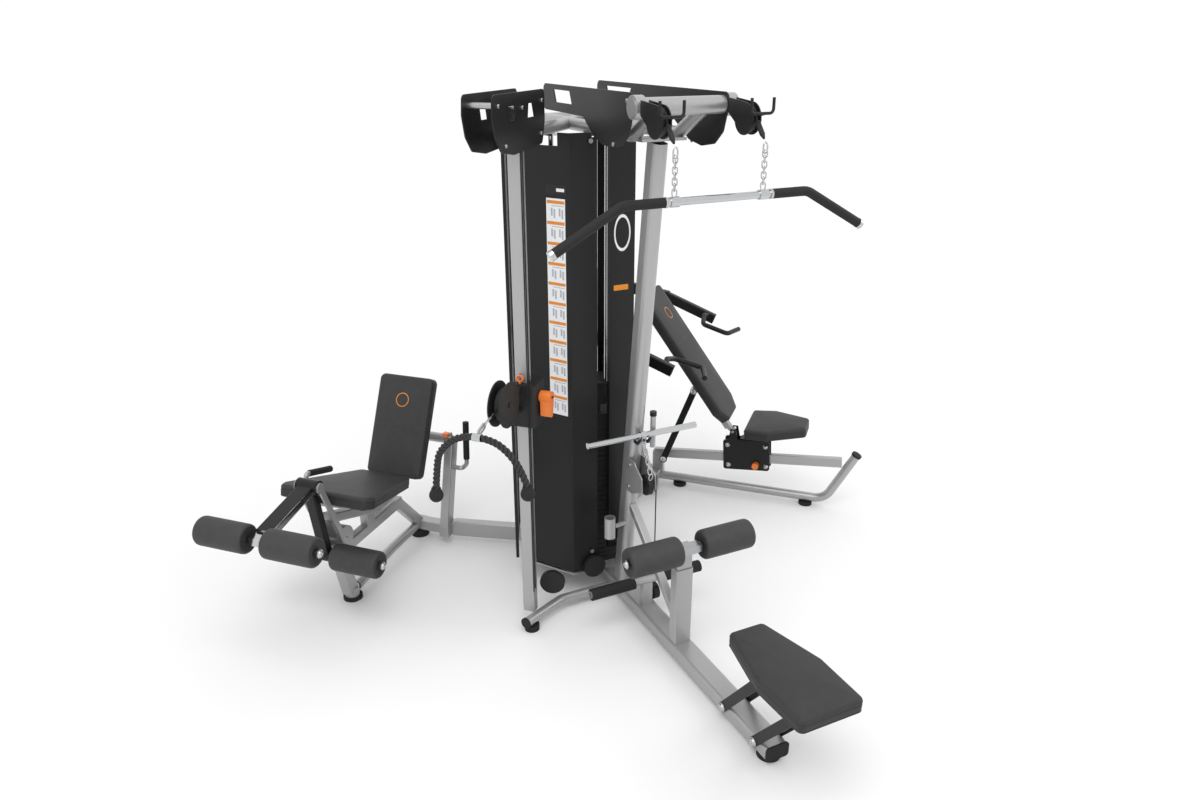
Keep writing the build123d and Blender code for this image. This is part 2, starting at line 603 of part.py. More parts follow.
hanger = [bar((806, s * 52, 334), (PIVOT_U, s * 52, PIVOT_Z), 8, 26, 0, 0,
              up=(1, 0, -0.39)) for s in (-1, 1)]
hanger_eye = [rod((PIVOT_U, s * 48, PIVOT_Z), (PIVOT_U, s * 56, PIVOT_Z), 44) for s in (-1, 1)]
hanger_foot = [rod((792, -56, 334), (792, 56, 334), 34)]
boss = rod((770, -30, 330), (770, 30, 330), 110)
rear_post = bar((CLAMP_U + 34, CLAMP_V, 84), (50, CLAMP_V, 520), 44, 60, 6, 0,
                up=(1, 0, 0.25))
post_foot = block((CLAMP_U - 30, CLAMP_V - 26, 39), (CLAMP_U + 62, CLAMP_V + 24, 96))
back_tube = rod((62, CLAMP_V - 22, 512), (62, -26, 512), 46)
grip_arm = pipe([(76, CLAMP_V + 10, 372), (76, CLAMP_V + 62, 372), (27, CLAMP_V + 62, 372),
                 (26, CLAMP_V + 62, 400)], 22, 12)
side_arm = pipe([(560, -20, 352), (612, -262, 372), (612, -262, 512), (589, -262, 504.8)], 22, 14)
rear_tie = bar((128, -28, 64), (128, 28, 64), 56, 50)
TRIGGER_U, TRIGGER_Z = 86.0, 549.0
trigger_ears = [side_plate([(50, 500), (76, 500), (98, 556), (76, 556)], CLAMP_V + s * 16, 4)
                for s in (-1, 1)]
trigger_pin = rod((TRIGGER_U, CLAMP_V - 16, TRIGGER_Z), (TRIGGER_U, CLAMP_V + 16, TRIGGER_Z), 6)

leg_pieces = rail_main
for piece in [rail_rise, rail_drop, rail_floor, front_foot, cross_rear, seat_tube, seat_rail,
              seat_prop, neck_prop, *hanger, *hanger_eye, *hanger_foot, boss, rear_post,
              post_foot, back_tube, grip_arm, side_arm, rear_tie, *trigger_ears, trigger_pin]:
    leg_pieces = leg_pieces + piece

leg_frame_set = place(LEG, leg_pieces)
with BuildPart() as leg_frame:
    add(leg_frame_set)

SEAT_TILT = 16.0
seat_plane = Plane(origin=(852, 0, 597), x_dir=(math.cos(math.radians(SEAT_TILT)), 0,
                                                math.sin(math.radians(SEAT_TILT))),
                   z_dir=(-math.sin(math.radians(SEAT_TILT)), 0,
                          math.cos(math.radians(SEAT_TILT))))
LEG_SEAT_EDGE = [(-490, -128), (-48, -219), (0, -200), (0, 200), (-48, 219), (-490, 128)]
leg_seat_set = place(LEG, pad(LEG_SEAT_EDGE, -PAD_T, PAD_T, 18, seat_plane))
with BuildPart() as leg_seat:
    add(leg_seat_set)

# leg machine backrest on its arm
back_dir = Vector(-187, 0, 400).normalized()
back_plane = Plane(origin=(333, 0, 445), x_dir=(0, 1, 0), z_dir=Vector(0, 1, 0).cross(back_dir))
BACK_EDGE = [(-138, -26), (138, -26), (138, 442), (-138, 442)]
leg_back_set = place(LEG, pad(BACK_EDGE, -PAD_T, PAD_T, 22, back_plane))
with BuildPart() as leg_back:
    add(leg_back_set)

mount_plate = extrude(back_plane.offset(-PAD_T - 6.2) * Pos(0, 190) * Rectangle(150, 220), 6)
mount_arm = bar((88, 0, 512), (218, 0, 560), 40, 30)
mount_ring = rod((62, -24, 512), (62, 24, 512), 66, 46.1)
mount = mount_ring + (mount_arm - rod((62, -40, 512), (62, 40, 512), 60)) + mount_plate
mount = mount - extrude(back_plane.offset(-PAD_T - 0.2) * Pos(0, 200) * Rectangle(400, 700), 80)
leg_back_mount_set = place(LEG, mount)
with BuildPart() as leg_back_mount:
    add(leg_back_mount_set)

trigger = side_plate([(78, 556), (112, 560), (120, 545), (96, 538), (76, 540)], CLAMP_V, 26, (), 3)
trigger = trigger - rod((TRIGGER_U, CLAMP_V - 20, TRIGGER_Z), (TRIGGER_U, CLAMP_V + 20, TRIGGER_Z),
                        6.1)
leg_trigger_set = place(LEG, trigger)
with BuildPart() as leg_trigger:
    add(leg_trigger_set)

# leg lever: one body with an upper and a lower arm
FRONT_U, FRONT_Z = 1253.0, 576.0
REAR_U, REAR_Z = 872.0, 300.0
barrel = rod((PIVOT_U, -47, PIVOT_Z), (PIVOT_U, 47, PIVOT_Z), 60)
front_arm = bar((PIVOT_U, 0, PIVOT_Z), (FRONT_U - 40, 0, FRONT_Z + 9), 70, 36, 6)
rear_arm = bar((PIVOT_U, 0, PIVOT_Z), (REAR_U + 4, 0, REAR_Z + 24), 46, 36, 6, 0, up=(1, 0, -0.2))
front_block = block((FRONT_U - 60, -32, FRONT_Z - 16), (FRONT_U + 14, 32, FRONT_Z + 16))
rear_hub = rod((REAR_U, -30, REAR_Z), (REAR_U, 30, REAR_Z), 52)
AXLE_L = 149 + ROLLER_L / 2 + 12


def axle(u, z):
    out = rod((u, -AXLE_L, z), (u, AXLE_L, z), 20)
    for s in (-1, 1):
        out = out + rod((u, s * (AXLE_L - 12), z), (u, s * (AXLE_L - 3), z), 34)
    return out


lever_arm = barrel + front_arm + rear_arm + front_block + rear_hub
lever_arm = lever_arm + axle(FRONT_U, FRONT_Z) + axle(REAR_U, REAR_Z)
leg_lever_set = place(LEG, lever_arm)
with BuildPart() as leg_lever:
    add(leg_lever_set)
leg_rollers_front_set = place(LEG, *[roller(FRONT_U, s * 149, FRONT_Z) for s in (-1, 1)])
with BuildPart() as leg_rollers_front:
    add(leg_rollers_front_set)
leg_rollers_rear_set = place(LEG, *[roller(REAR_U, s * 149, REAR_Z) for s in (-1, 1)])
with BuildPart() as leg_rollers_rear:
    add(leg_rollers_rear_set)

# ---------------------------------------------------------------- press base and frame
RAIL_LOW, RAIL_HIGH = (130.0, 178.0), (1130.0, 268.0)
press_rail = bar((RAIL_LOW[0], 0, RAIL_LOW[1]), (RAIL_HIGH[0], 0, RAIL_HIGH[1]), 30, 50, 3)
floor_tube = pipe([(150, 0, 44), (1060, 0, 44), (1196, 0, 312)], 46, 90)
inner_post = bar((150, 0, 44), (150, 0, 190), 40, 60, 4, 0, up=(1, 0, 0))
press_cross = bar((140, -CLAMP_V + 24, 64), (140, 40, 64), 60, 50, 6)
press_clamp = block((104, -CLAMP_V - 24, 30), (190, -CLAMP_V + 26, 122))
press_pieces = press_rail + floor_tube + inner_post + press_cross + press_clamp

press_base_set = place(PRESS, press_pieces)
with BuildPart() as press_base:
    add(press_base_set)

ARM_U, ARM_Z, ARM_V = -250.0, 985.0, 470.0
upright = bar((60, 0, 64), (-232, 0, 1010), 60, 90, 8, 0, up=(1, 0, 0.3))
upright_foot = bar((110, 0, 64), (10, 0, 64), 60, 50, 6)
pivot_tube = rod((ARM_U, -ARM_V + 40, ARM_Z), (ARM_U, ARM_V - 40, ARM_Z), 40)
cam_tower = bar((-232, 0, 1010), (-200, 0, 1165), 30, 60, 4, 0, up=(1, 0, 0))
cams = rod((-170, -14, 1150), (-170, 14, 1150), 110)
press_upright = upright + upright_foot + pivot_tube + cam_tower + cams
press_frame_set = place(PRESS, press_upright - block((104.5, -400, -10), (400, 400, 400)))
with BuildPart() as press_frame:
    add(press_frame_set)


def press_arm(s):
    v = s * (ARM_V - 12)
    root = rod((ARM_U, v - 26, ARM_Z), (ARM_U, v + 26, ARM_Z), 66, 40.1)
    arm = bar((ARM_U + 30, v, ARM_Z - 4), (60, v, 940), 40, 60, 5)
    arm = arm + bar((40, v, 944), (330, v, 832), 37, 54, 7)
    arm = arm - rod((ARM_U, v - 40, ARM_Z), (ARM_U, v + 40, ARM_Z), 60)
    grip = pipe([(300, v, 850), (284, v - s * 60, 868), (300, v - s * 150, 842),
                 (440, v - s * 165, 806), (478, v - s * 40, 800)], 26, 26)
    return root + arm + grip


CROSS_U, CROSS_Z = ARM_U - 78, ARM_Z - 20
cross_bar = rod((CROSS_U, -ARM_V + 12, CROSS_Z), (CROSS_U, ARM_V - 12, CROSS_Z), 34)
cross_lugs = [bar((ARM_U - 20, s * (ARM_V - 12), ARM_Z - 6), (CROSS_U, s * (ARM_V - 12), CROSS_Z),
                  40, 40)
              for s in (-1, 1)]
yoke = press_arm(-1) + press_arm(1) + cross_bar
for lug, s in zip(cross_lugs, (-1, 1)):
    v = s * (ARM_V - 12)
    yoke = yoke + (lug - rod((ARM_U, v - 40, ARM_Z), (ARM_U, v + 40, ARM_Z), 60))
press_arms_set = place(PRESS, yoke)
with BuildPart() as press_arms:
    add(press_arms_set)

# press carriage, seat, backrest and strut
rail_run = Vector(RAIL_HIGH[0] - RAIL_LOW[0], 0, RAIL_HIGH[1] - RAIL_LOW[1]).normalized()


def rail_at(u, lift):
    z = RAIL_LOW[1] + (u - RAIL_LOW[0]) * rail_run.Z / rail_run.X
    return (u - lift * rail_run.Z, z + lift * rail_run.X)


side_edge = [rail_at(515, -62), rail_at(760, -62), rail_at(765, 108), rail_at(520, 108)]
flanks = [side_plate(side_edge, s * 29, 6, (), 14) for s in (-1, 1)]
ties = []
for u, lift in ((540, 78), (738, 78), (540, -44), (738, -44)):
    cu, cz = rail_at(u, lift)
    ties.append(rod((cu, -26, cz), (cu, 26, cz), 24))
tops = block((600, -26, 318), (700, 26, 336))
seat_stem = block((620, -26, 330), (720, 26, 384))
hinge_u, hinge_z = 560.0, 372.0
hinge_lug = [side_plate([(536, 318), (590, 318), (576, 384), (548, 384)], s * 29, 6, (), 4)
             for s in (-1, 1)]
slide_box = flanks[0] + flanks[1] + ties + [tops, seat_stem] + hinge_lug
slide_box = slide_box - rod((hinge_u, -60, hinge_z), (hinge_u, 60, hinge_z), 14.1)
press_carriage_set = place(PRESS, slide_box)
with BuildPart() as press_carriage:
    add(press_carriage_set)

knob_u, knob_z = rail_at(690, -28)
knob = rod((knob_u, -62, knob_z), (knob_u, -34, knob_z), 34)
knob = knob + rod((knob_u, -34, knob_z), (knob_u, -33, knob_z), 20)
press_knob_set = place(PRESS, knob)
with BuildPart() as press_knob:
    add(press_knob_set)

PRESS_SEAT_EDGE = [(634, -150), (757, -157), (938, -72), (938, 72), (757, 157), (634, 150)]
seat_level = Plane(origin=(757, 0, 456), x_dir=(0.997, 0, 0.075), z_dir=(-0.075, 0, 0.997))
PRESS_SEAT_LOCAL = [(u - 757, v) for u, v in PRESS_SEAT_EDGE]
press_seat_set = place(PRESS, pad(PRESS_SEAT_LOCAL, -PAD_T, PAD_T, 14, seat_level))
with BuildPart() as press_seat:
    add(press_seat_set)

rest_dir = Vector(-460, 0, 630).normalized()
rest_plane = Plane(origin=(560, 0, 470), x_dir=(0, 1, 0), z_dir=Vector(0, 1, 0).cross(rest_dir))
REST_EDGE = [(-90, 0), (90, 0), (138, 70), (138, 780), (-138, 780), (-138, 70)]
press_back_set = place(PRESS, pad(REST_EDGE, -PAD_T, PAD_T, 14, rest_plane))
with BuildPart() as press_back:
    add(press_back_set)

rest_board = extrude(rest_plane.offset(-PAD_T - 6.2) * Pos(0, 330) * Rectangle(120, 480), 6)
spine = extrude(rest_plane.offset(-PAD_T - 30) * Pos(0, 160) * Rectangle(40, 420), 24.4)
tang = bar((hinge_u, 0, hinge_z), (hinge_u - 52, 0, hinge_z + 42), 40, 30)
tang = tang + rod((hinge_u, -20, hinge_z), (hinge_u, 20, hinge_z), 30)
pin = rod((hinge_u, -36, hinge_z), (hinge_u, 36, hinge_z), 14)
STRUT_TOP, STRUT_LOW = (354.0, 600.0), (196.0, 176.0)
ear = rod((STRUT_TOP[0], -92, STRUT_TOP[1]), (STRUT_TOP[0], 20, STRUT_TOP[1]), 18)
ear_block = block((STRUT_TOP[0] - 12, -20, STRUT_TOP[1] - 12), (STRUT_TOP[0] + 30, 20,
                                                             STRUT_TOP[1] + 16))
rest_metal = rest_board + spine + tang + pin + ear + ear_block
rest_metal = rest_metal - extrude(rest_plane.offset(-PAD_T - 0.2) * Pos(0, 350)
                                  * Rectangle(400, 900), 90)
press_back_plate_set = place(PRESS, rest_metal)
with BuildPart() as press_back_plate:
    add(press_back_plate_set)

strut = bar((STRUT_LOW[0], -74, STRUT_LOW[1]), (STRUT_TOP[0], -74, STRUT_TOP[1]), 10, 34, 0, 0,
            up=(1, 0, -0.35))
strut = strut + rod((STRUT_TOP[0], -79, STRUT_TOP[1]), (STRUT_TOP[0], -69, STRUT_TOP[1]), 40)
strut = strut + rod((STRUT_LOW[0], -79, STRUT_LOW[1]), (STRUT_LOW[0], -69, STRUT_LOW[1]), 40)
strut = strut - rod((STRUT_TOP[0], -90, STRUT_TOP[1]), (STRUT_TOP[0], -60, STRUT_TOP[1]), 24)
strut = strut + rod((STRUT_LOW[0], -69, STRUT_LOW[1]), (STRUT_LOW[0], -15.6, STRUT_LOW[1]), 16)
press_strut_set = place(PRESS, strut)
with BuildPart() as press_strut:
    add(press_strut_set)

# ---------------------------------------------------------------- small shared nodes
feet_lat = [rod((1530, 0, 0), (1530, 0, 19.8), 84),
            bar((1573, 0, BEAM_LOW + BEAM_H / 2), (1579, 0, BEAM_LOW + BEAM_H / 2), 94, 59, 14),
            rod((-120, -30, 0), (-120, -30, 19.8), 60), rod((-120, 30, 0), (-120, 30, 19.8), 60)]
feet_column = [rod((-466, -498.6, 0), (-466, -498.6, 25.7), 62),
               rod((-503, -516.3, 47), (-494.4, -512.2, 47), 46)]
feet_leg = [rod((728, 0, 0), (728, 0, 15.8), 84), rod((130, 0, 0), (130, 0, 38.8), 90)]
feet_press = [rod((275, 0, 0), (275, 0, 20.8), 70), rod((963, 0, 0), (963, 0, 20.8), 70),
              rod((1196.4, 0, 312.8), (1202, 0, 324), 52)]
feet_set = place(LAT, *feet_lat)
feet_set += place(TOWER, *feet_column)
feet_set += place(LEG, *feet_leg)
feet_set += place(PRESS, *feet_press)
with BuildPart() as feet:
    add(feet_set)

cover_a = rod((-342, -430, 150), (-333, -414, 150), 106)
cover_b = rod((-124, -399, 152), (-124, -379, 152), 100)
pulley_covers_set = place(TOWER, cover_a, cover_b)
with BuildPart() as pulley_covers:
    add(pulley_covers_set)

sleeves = [rod((FOOT_U, s * 60, FOOT_Z), (FOOT_U, s * 258, FOOT_Z), 50, 30) for s in (-1, 1)]
leg_grip = rod((26, CLAMP_V + 62, 400.6), (14, CLAMP_V + 62, 590), 30)
side_grip = rod((588, -262, 504.4), (436, -262, 457), 30)
grips_fixed_set = place(LAT, *sleeves)
grips_fixed_set += place(LEG, leg_grip, side_grip)
with BuildPart() as grips_fixed:
    add(grips_fixed_set)


def bolt_head(loc, u, v, z, side, d=16):
    """Domed bolt head standing on a v face."""
    head = rod((u, v, z), (u, v + side * 6, z), d)
    return loc * fillet(head.edges().sort_by(lambda e: side * e.center().Y)[-1], 3)


heads = []
for u, z in ((720, 2120), (620, 1972)):
    heads.append(bolt_head(LAT, u, -155.5, z, -1))
    heads.append(bolt_head(LAT, u, 155.5, z, 1))
for u, z in ((888, 2112), (530, 2110), (700, 2096), (540, 2000), (840, 1985)):
    heads.append(bolt_head(COL, u, 54.5, z, 1, 14))
    heads.append(bolt_head(COL, u, -54.5, z, -1, 14))
for u, z in ((540, 690), (532, 590)):
    heads.append(bolt_head(LAT, u, 33.5, z, 1))
    heads.append(bolt_head(LAT, u, -33.5, z, -1))
for x, z in ((-130, 1960), (-130, 224), (-18, 1950), (-18, 250)):
    head_face = TOWER * rod((x, -377.2, z), (x, -383, z), 18)
    heads.append(head_face)
for s in (-1, 1):
    for u, z in ((1305, 46), (1500, 46)):
        heads.append(bolt_head(LAT, u, s * 53, z, s))

with BuildPart() as bolts:
    add(heads)

# ---------------------------------------------------------------- labels and files
NODES = {
    "base_frame": base_frame, "mast": mast, "column": column, "top_frame": top_frame,
    "lat_top_plates": lat_top_plates, "column_top_plates": column_top_plates,
    "shroud_front": shroud_front, "shroud_side": shroud_side, "shroud_leg": shroud_leg,
    "shroud_press": shroud_press, "guide_rods": guide_rods, "weight_stacks": weight_stacks,
    "lat_head": lat_head, "column_head": column_head, "leg_head": leg_head,
    "press_head": press_head, "lat_pulleys": lat_pulleys, "lat_bar": lat_bar,
    "lat_grips": lat_grips, "lat_chains": lat_chains, "row_bar": row_bar,
    "row_chain": row_chain, "low_pulley": low_pulley, "foot_bar": foot_bar,
    "socket_tube": socket_tube, "knee_post": knee_post, "knee_slide": knee_slide,
    "knee_roller_left": knee_roller_left, "knee_roller_right": knee_roller_right,
    "lat_seat": lat_seat, "seat_links": seat_links, "carriage": carriage,
    "carriage_lever": carriage_lever, "carriage_pin": carriage_pin,
    "swivel_pulley": swivel_pulley, "carabiner": carabiner, "rope": rope,
    "rope_ends": rope_ends, "leg_frame": leg_frame, "leg_seat": leg_seat,
    "leg_back": leg_back, "leg_back_mount": leg_back_mount, "leg_trigger": leg_trigger,
    "leg_lever": leg_lever, "leg_rollers_front": leg_rollers_front,
    "leg_rollers_rear": leg_rollers_rear, "press_base": press_base,
    "press_frame": press_frame, "press_arms": press_arms, "press_carriage": press_carriage,
    "press_knob": press_knob, "press_seat": press_seat, "press_back": press_back,
    "press_back_plate": press_back_plate, "press_strut": press_strut, "feet": feet,
    "pulley_covers": pulley_covers, "grips_fixed": grips_fixed, "bolts": bolts,
}
for node, builder in NODES.items():
    builder.part.label = node
    export_step(builder.part, f"parts/{node}.step")
print(len(NODES), "nodes")
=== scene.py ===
"""Looks of a multi station home gym: tower, pulley column, pulldown, leg machine and press."""
import json
import math

import bpy
from mathutils import Matrix, Vector
from mathutils.bvhtree import BVHTree


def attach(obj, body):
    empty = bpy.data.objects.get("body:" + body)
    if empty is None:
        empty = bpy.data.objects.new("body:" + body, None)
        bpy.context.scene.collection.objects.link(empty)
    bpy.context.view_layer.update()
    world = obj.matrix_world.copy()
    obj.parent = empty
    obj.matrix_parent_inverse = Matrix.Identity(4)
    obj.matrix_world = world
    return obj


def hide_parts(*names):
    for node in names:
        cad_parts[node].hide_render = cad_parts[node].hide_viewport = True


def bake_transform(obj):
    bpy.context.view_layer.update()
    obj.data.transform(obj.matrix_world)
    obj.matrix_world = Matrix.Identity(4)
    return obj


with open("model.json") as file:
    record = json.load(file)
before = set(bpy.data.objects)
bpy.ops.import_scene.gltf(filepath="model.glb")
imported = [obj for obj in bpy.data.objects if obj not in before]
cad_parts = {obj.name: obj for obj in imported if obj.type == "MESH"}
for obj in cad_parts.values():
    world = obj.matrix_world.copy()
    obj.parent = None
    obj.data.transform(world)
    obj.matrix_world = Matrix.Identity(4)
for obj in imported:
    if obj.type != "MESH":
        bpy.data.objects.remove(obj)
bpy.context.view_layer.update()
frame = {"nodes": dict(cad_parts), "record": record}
NODES = frame["nodes"]

# ---------------------------------------------------------------- places
MM = 0.001
MOUNTS = {m["name"]: Vector(m["pos_m"]) for m in frame["record"]["mounts"]}
BEAM_FOOT_U = 1.530             # outer foot of the pulldown beam from the tower's centre
TOWER = MOUNTS["floor_beam_foot"] + Vector((0, BEAM_FOOT_U, 0))
STATION_OFFSET = 0.820          # leg machine and press planes from the tower's centre
DIAG = math.sqrt(0.5)


def local_frame(origin, degrees):
    """Matrix from a station's own (u, v, z) axes to the row frame."""
    return Matrix.Translation(origin) @ Matrix.Rotation(math.radians(degrees), 4, "Z")


LAT = local_frame(TOWER, -90)
COL = local_frame(TOWER, 225)
LEG = local_frame(TOWER + Vector((-STATION_OFFSET * DIAG, STATION_OFFSET * DIAG, 0)), 225)
PRESS = local_frame(TOWER + Vector((STATION_OFFSET * DIAG, STATION_OFFSET * DIAG, 0)), 315)
HALL = local_frame(TOWER, 0)


def at(place, u, v, z):
    """Point of a station in the row frame, from millimetres."""
    return place @ (Vector((u, v, z)) * MM)


# ---------------------------------------------------------------- camera and light
LENS_MM, SENSOR_MM = 27.41, 36.0
CAMERA_PLACE = TOWER + Vector((-1.616, -3.52, 2.315))
CAMERA_DOWN, CAMERA_TURN = 21.67, -25.9     # degrees below level, and about the vertical
KEY_POWER, FILL_POWER = 75, 25
FLOOR_HALF = 40.0
# painted shade round the object: the floor is darker near it, and the shade fades out between these
# distances
FLOOR_NEAR, FLOOR_FAR = 1.5, 7.0            # the floor gets brighter between these distances


def make_camera():
    """Camera solved from the photograph."""
    data = bpy.data.cameras.new("camera")
    data.lens = LENS_MM
    data.sensor_width = SENSOR_MM
    data.clip_end = 100.0
    camera = bpy.data.objects.new("camera", data)
    camera.location = CAMERA_PLACE
    camera.rotation_euler = (math.radians(90 - CAMERA_DOWN), 0.0, math.radians(CAMERA_TURN))
    bpy.context.scene.collection.objects.link(camera)
    bpy.context.scene.camera = camera


def area_light(name, place, target, size, power):
    """Square lamp at a place, aimed at a target."""
    data = bpy.data.lights.new(name, "AREA")
    data.energy = power
    data.size = size
    light = bpy.data.objects.new(name, data)
    light.location = place
    light.rotation_euler = (Vector(target) - Vector(place)).to_track_quat("-Z", "Y").to_euler()
    bpy.context.scene.collection.objects.link(light)


def floor_material():
    """Pale floor with painted shade round the object, brightening away from it until it meets the
    white room.
    """
    material, tree, shader = new_material("floor")
    place = tree.nodes.new("ShaderNodeTexCoord")
    reach = tree.nodes.new("ShaderNodeVectorMath")
    reach.operation = "LENGTH"
    tree.links.new(place.outputs["Object"], reach.inputs[0])
    share = tree.nodes.new("ShaderNodeMapRange")
    share.inputs["From Min"].default_value = FLOOR_NEAR
    share.inputs["From Max"].default_value = FLOOR_FAR
    tree.links.new(reach.outputs["Value"], share.inputs["Value"])
    tree.links.new(ramp(tree, share.outputs["Result"], (0.87, 0.87, 0.875), (0.985, 0.985, 0.985),
                        0.0, 1.0), shader.inputs["Base Color"])
    shader.inputs["Roughness"].default_value = 0.9
    shader.inputs["Specular IOR Level"].default_value = 0.1
    return material


def make_studio():
    """White room, two soft lamps and the floor."""
    world = bpy.data.worlds.new("studio")
    world.use_nodes = True
    sky = world.node_tree.nodes["Background"]
    sky.inputs["Color"].default_value = (1.0, 1.0, 1.0, 1.0)
    sky.inputs["Strength"].default_value = 1.03
    bpy.context.scene.world = world
    bpy.context.scene.view_settings.view_transform = "Standard"
    area_light("key", (-1.5, -2.2, 4.8), (0, 0, 0.6), 3.2, KEY_POWER)
    area_light("fill", (3.6, -1.2, 3.2), (0, 0, 0.8), 2.4, FILL_POWER)
    mesh = bpy.data.meshes.new("floor")
    half = FLOOR_HALF
    mesh.from_pydata([(-half, -half, 0), (half, -half, 0), (half, half, 0), (-half, half, 0)],
                     [], [(0, 1, 2, 3)])
    floor = bpy.data.objects.new("floor", mesh)
    bpy.context.scene.collection.objects.link(floor)
    floor.data.materials.append(floor_material())


# ---------------------------------------------------------------- materials
GLOSS_SPREAD = 0.05             # roughness above and below the mean in soft stains


def new_material(name):
    """Node material, with its tree and its shader."""
    material = bpy.data.materials.new(name)
    material.use_nodes = True
    return material, material.node_tree, material.node_tree.nodes["Principled BSDF"]


def noise(tree, scale, detail=2.0):
    """Noise in the row frame, so it has the same size on every piece."""
    place = tree.nodes.new("ShaderNodeTexCoord")
    node = tree.nodes.new("ShaderNodeTexNoise")
    node.inputs["Scale"].default_value = scale
    node.inputs["Detail"].default_value = detail
    tree.links.new(place.outputs["Object"], node.inputs["Vector"])
    return node.outputs["Fac"]


def ramp(tree, source, low, high, start=0.35, end=0.65):
    """Colour that goes from low to high as a source goes from start to end."""
    node = tree.nodes.new("ShaderNodeValToRGB")
    node.color_ramp.elements[0].position = start
    node.color_ramp.elements[0].color = (*low, 1)
    node.color_ramp.elements[1].position = end
    node.color_ramp.elements[1].color = (*high, 1)
    tree.links.new(source, node.inputs["Fac"])
    return node.outputs["Color"]


def bump(tree, shader, height, strength, distance):
    """Relief that follows a height, with its depth in metres."""
    node = tree.nodes.new("ShaderNodeBump")
    node.inputs["Strength"].default_value = strength
    node.inputs["Distance"].default_value = distance
    tree.links.new(height, node.inputs["Height"])
    tree.links.new(node.outputs["Normal"], shader.inputs["Normal"])


def rough_range(tree, shader, source, low, high):
    """Roughness that goes from low to high with a source."""
    node = tree.nodes.new("ShaderNodeMapRange")
    node.inputs["To Min"].default_value = low
    node.inputs["To Max"].default_value = high
    tree.links.new(source, node.inputs["Value"])
    tree.links.new(node.outputs["Result"], shader.inputs["Roughness"])


def speckled(name, low, high, rough, grain, relief, metal=0.0, coat=0.0, shine=0.25):
    """Coated or moulded surface: fine grain in colour, gloss and relief, and slow soft stains."""
    material, tree, shader = new_material(name)
    fine = noise(tree, grain, 3.0)
    tree.links.new(ramp(tree, fine, low, high), shader.inputs["Base Color"])
    slow = noise(tree, 4.0, 3.0)
    rough_range(tree, shader, slow, rough - GLOSS_SPREAD, rough + GLOSS_SPREAD)
    bump(tree, shader, fine, relief, 0.0004)
    shader.inputs["Metallic"].default_value = metal
    shader.inputs["Specular IOR Level"].default_value = shine
    shader.inputs["Coat Weight"].default_value = coat
    shader.inputs["Coat Roughness"].default_value = 0.25
    return material


def leather(name, low, high):
    """Vinyl upholstery: pebbled grain from cells, with soft uneven sheen."""
    material, tree, shader = new_material(name)
    place = tree.nodes.new("ShaderNodeTexCoord")
    cells = tree.nodes.new("ShaderNodeTexVoronoi")
    cells.feature = "DISTANCE_TO_EDGE"
    cells.inputs["Scale"].default_value = 520.0
    tree.links.new(place.outputs["Object"], cells.inputs["Vector"])
    slow = noise(tree, 22.0, 4.0)
    tree.links.new(ramp(tree, slow, low, high), shader.inputs["Base Color"])
    rough_range(tree, shader, slow, 0.46, 0.60)
    bump(tree, shader, cells.outputs["Distance"], 0.25, 0.0006)
    shader.inputs["Specular IOR Level"].default_value = 0.32
    return material


def foam(name, low, high):
    """Skinned foam roller: faint pores and a dry, matt sheen."""
    material, tree, shader = new_material(name)
    fine = noise(tree, 700.0, 4.0)
    tree.links.new(ramp(tree, noise(tree, 30.0, 4.0), low, high), shader.inputs["Base Color"])
    bump(tree, shader, fine, 0.35, 0.0006)
    rough_range(tree, shader, fine, 0.55, 0.72)
    return material


def brushed(name, colour, rough):
    """Plated steel with faint fine mottling in colour and roughness."""
    material, tree, shader = new_material(name)
    fine = noise(tree, 160.0, 5.0)
    pale = tuple(min(1.0, c * 1.06) for c in colour)
    tree.links.new(ramp(tree, fine, colour, pale), shader.inputs["Base Color"])
    rough_range(tree, shader, fine, rough * 0.8, rough * 1.3)
    shader.inputs["Metallic"].default_value = 1.0
    return material


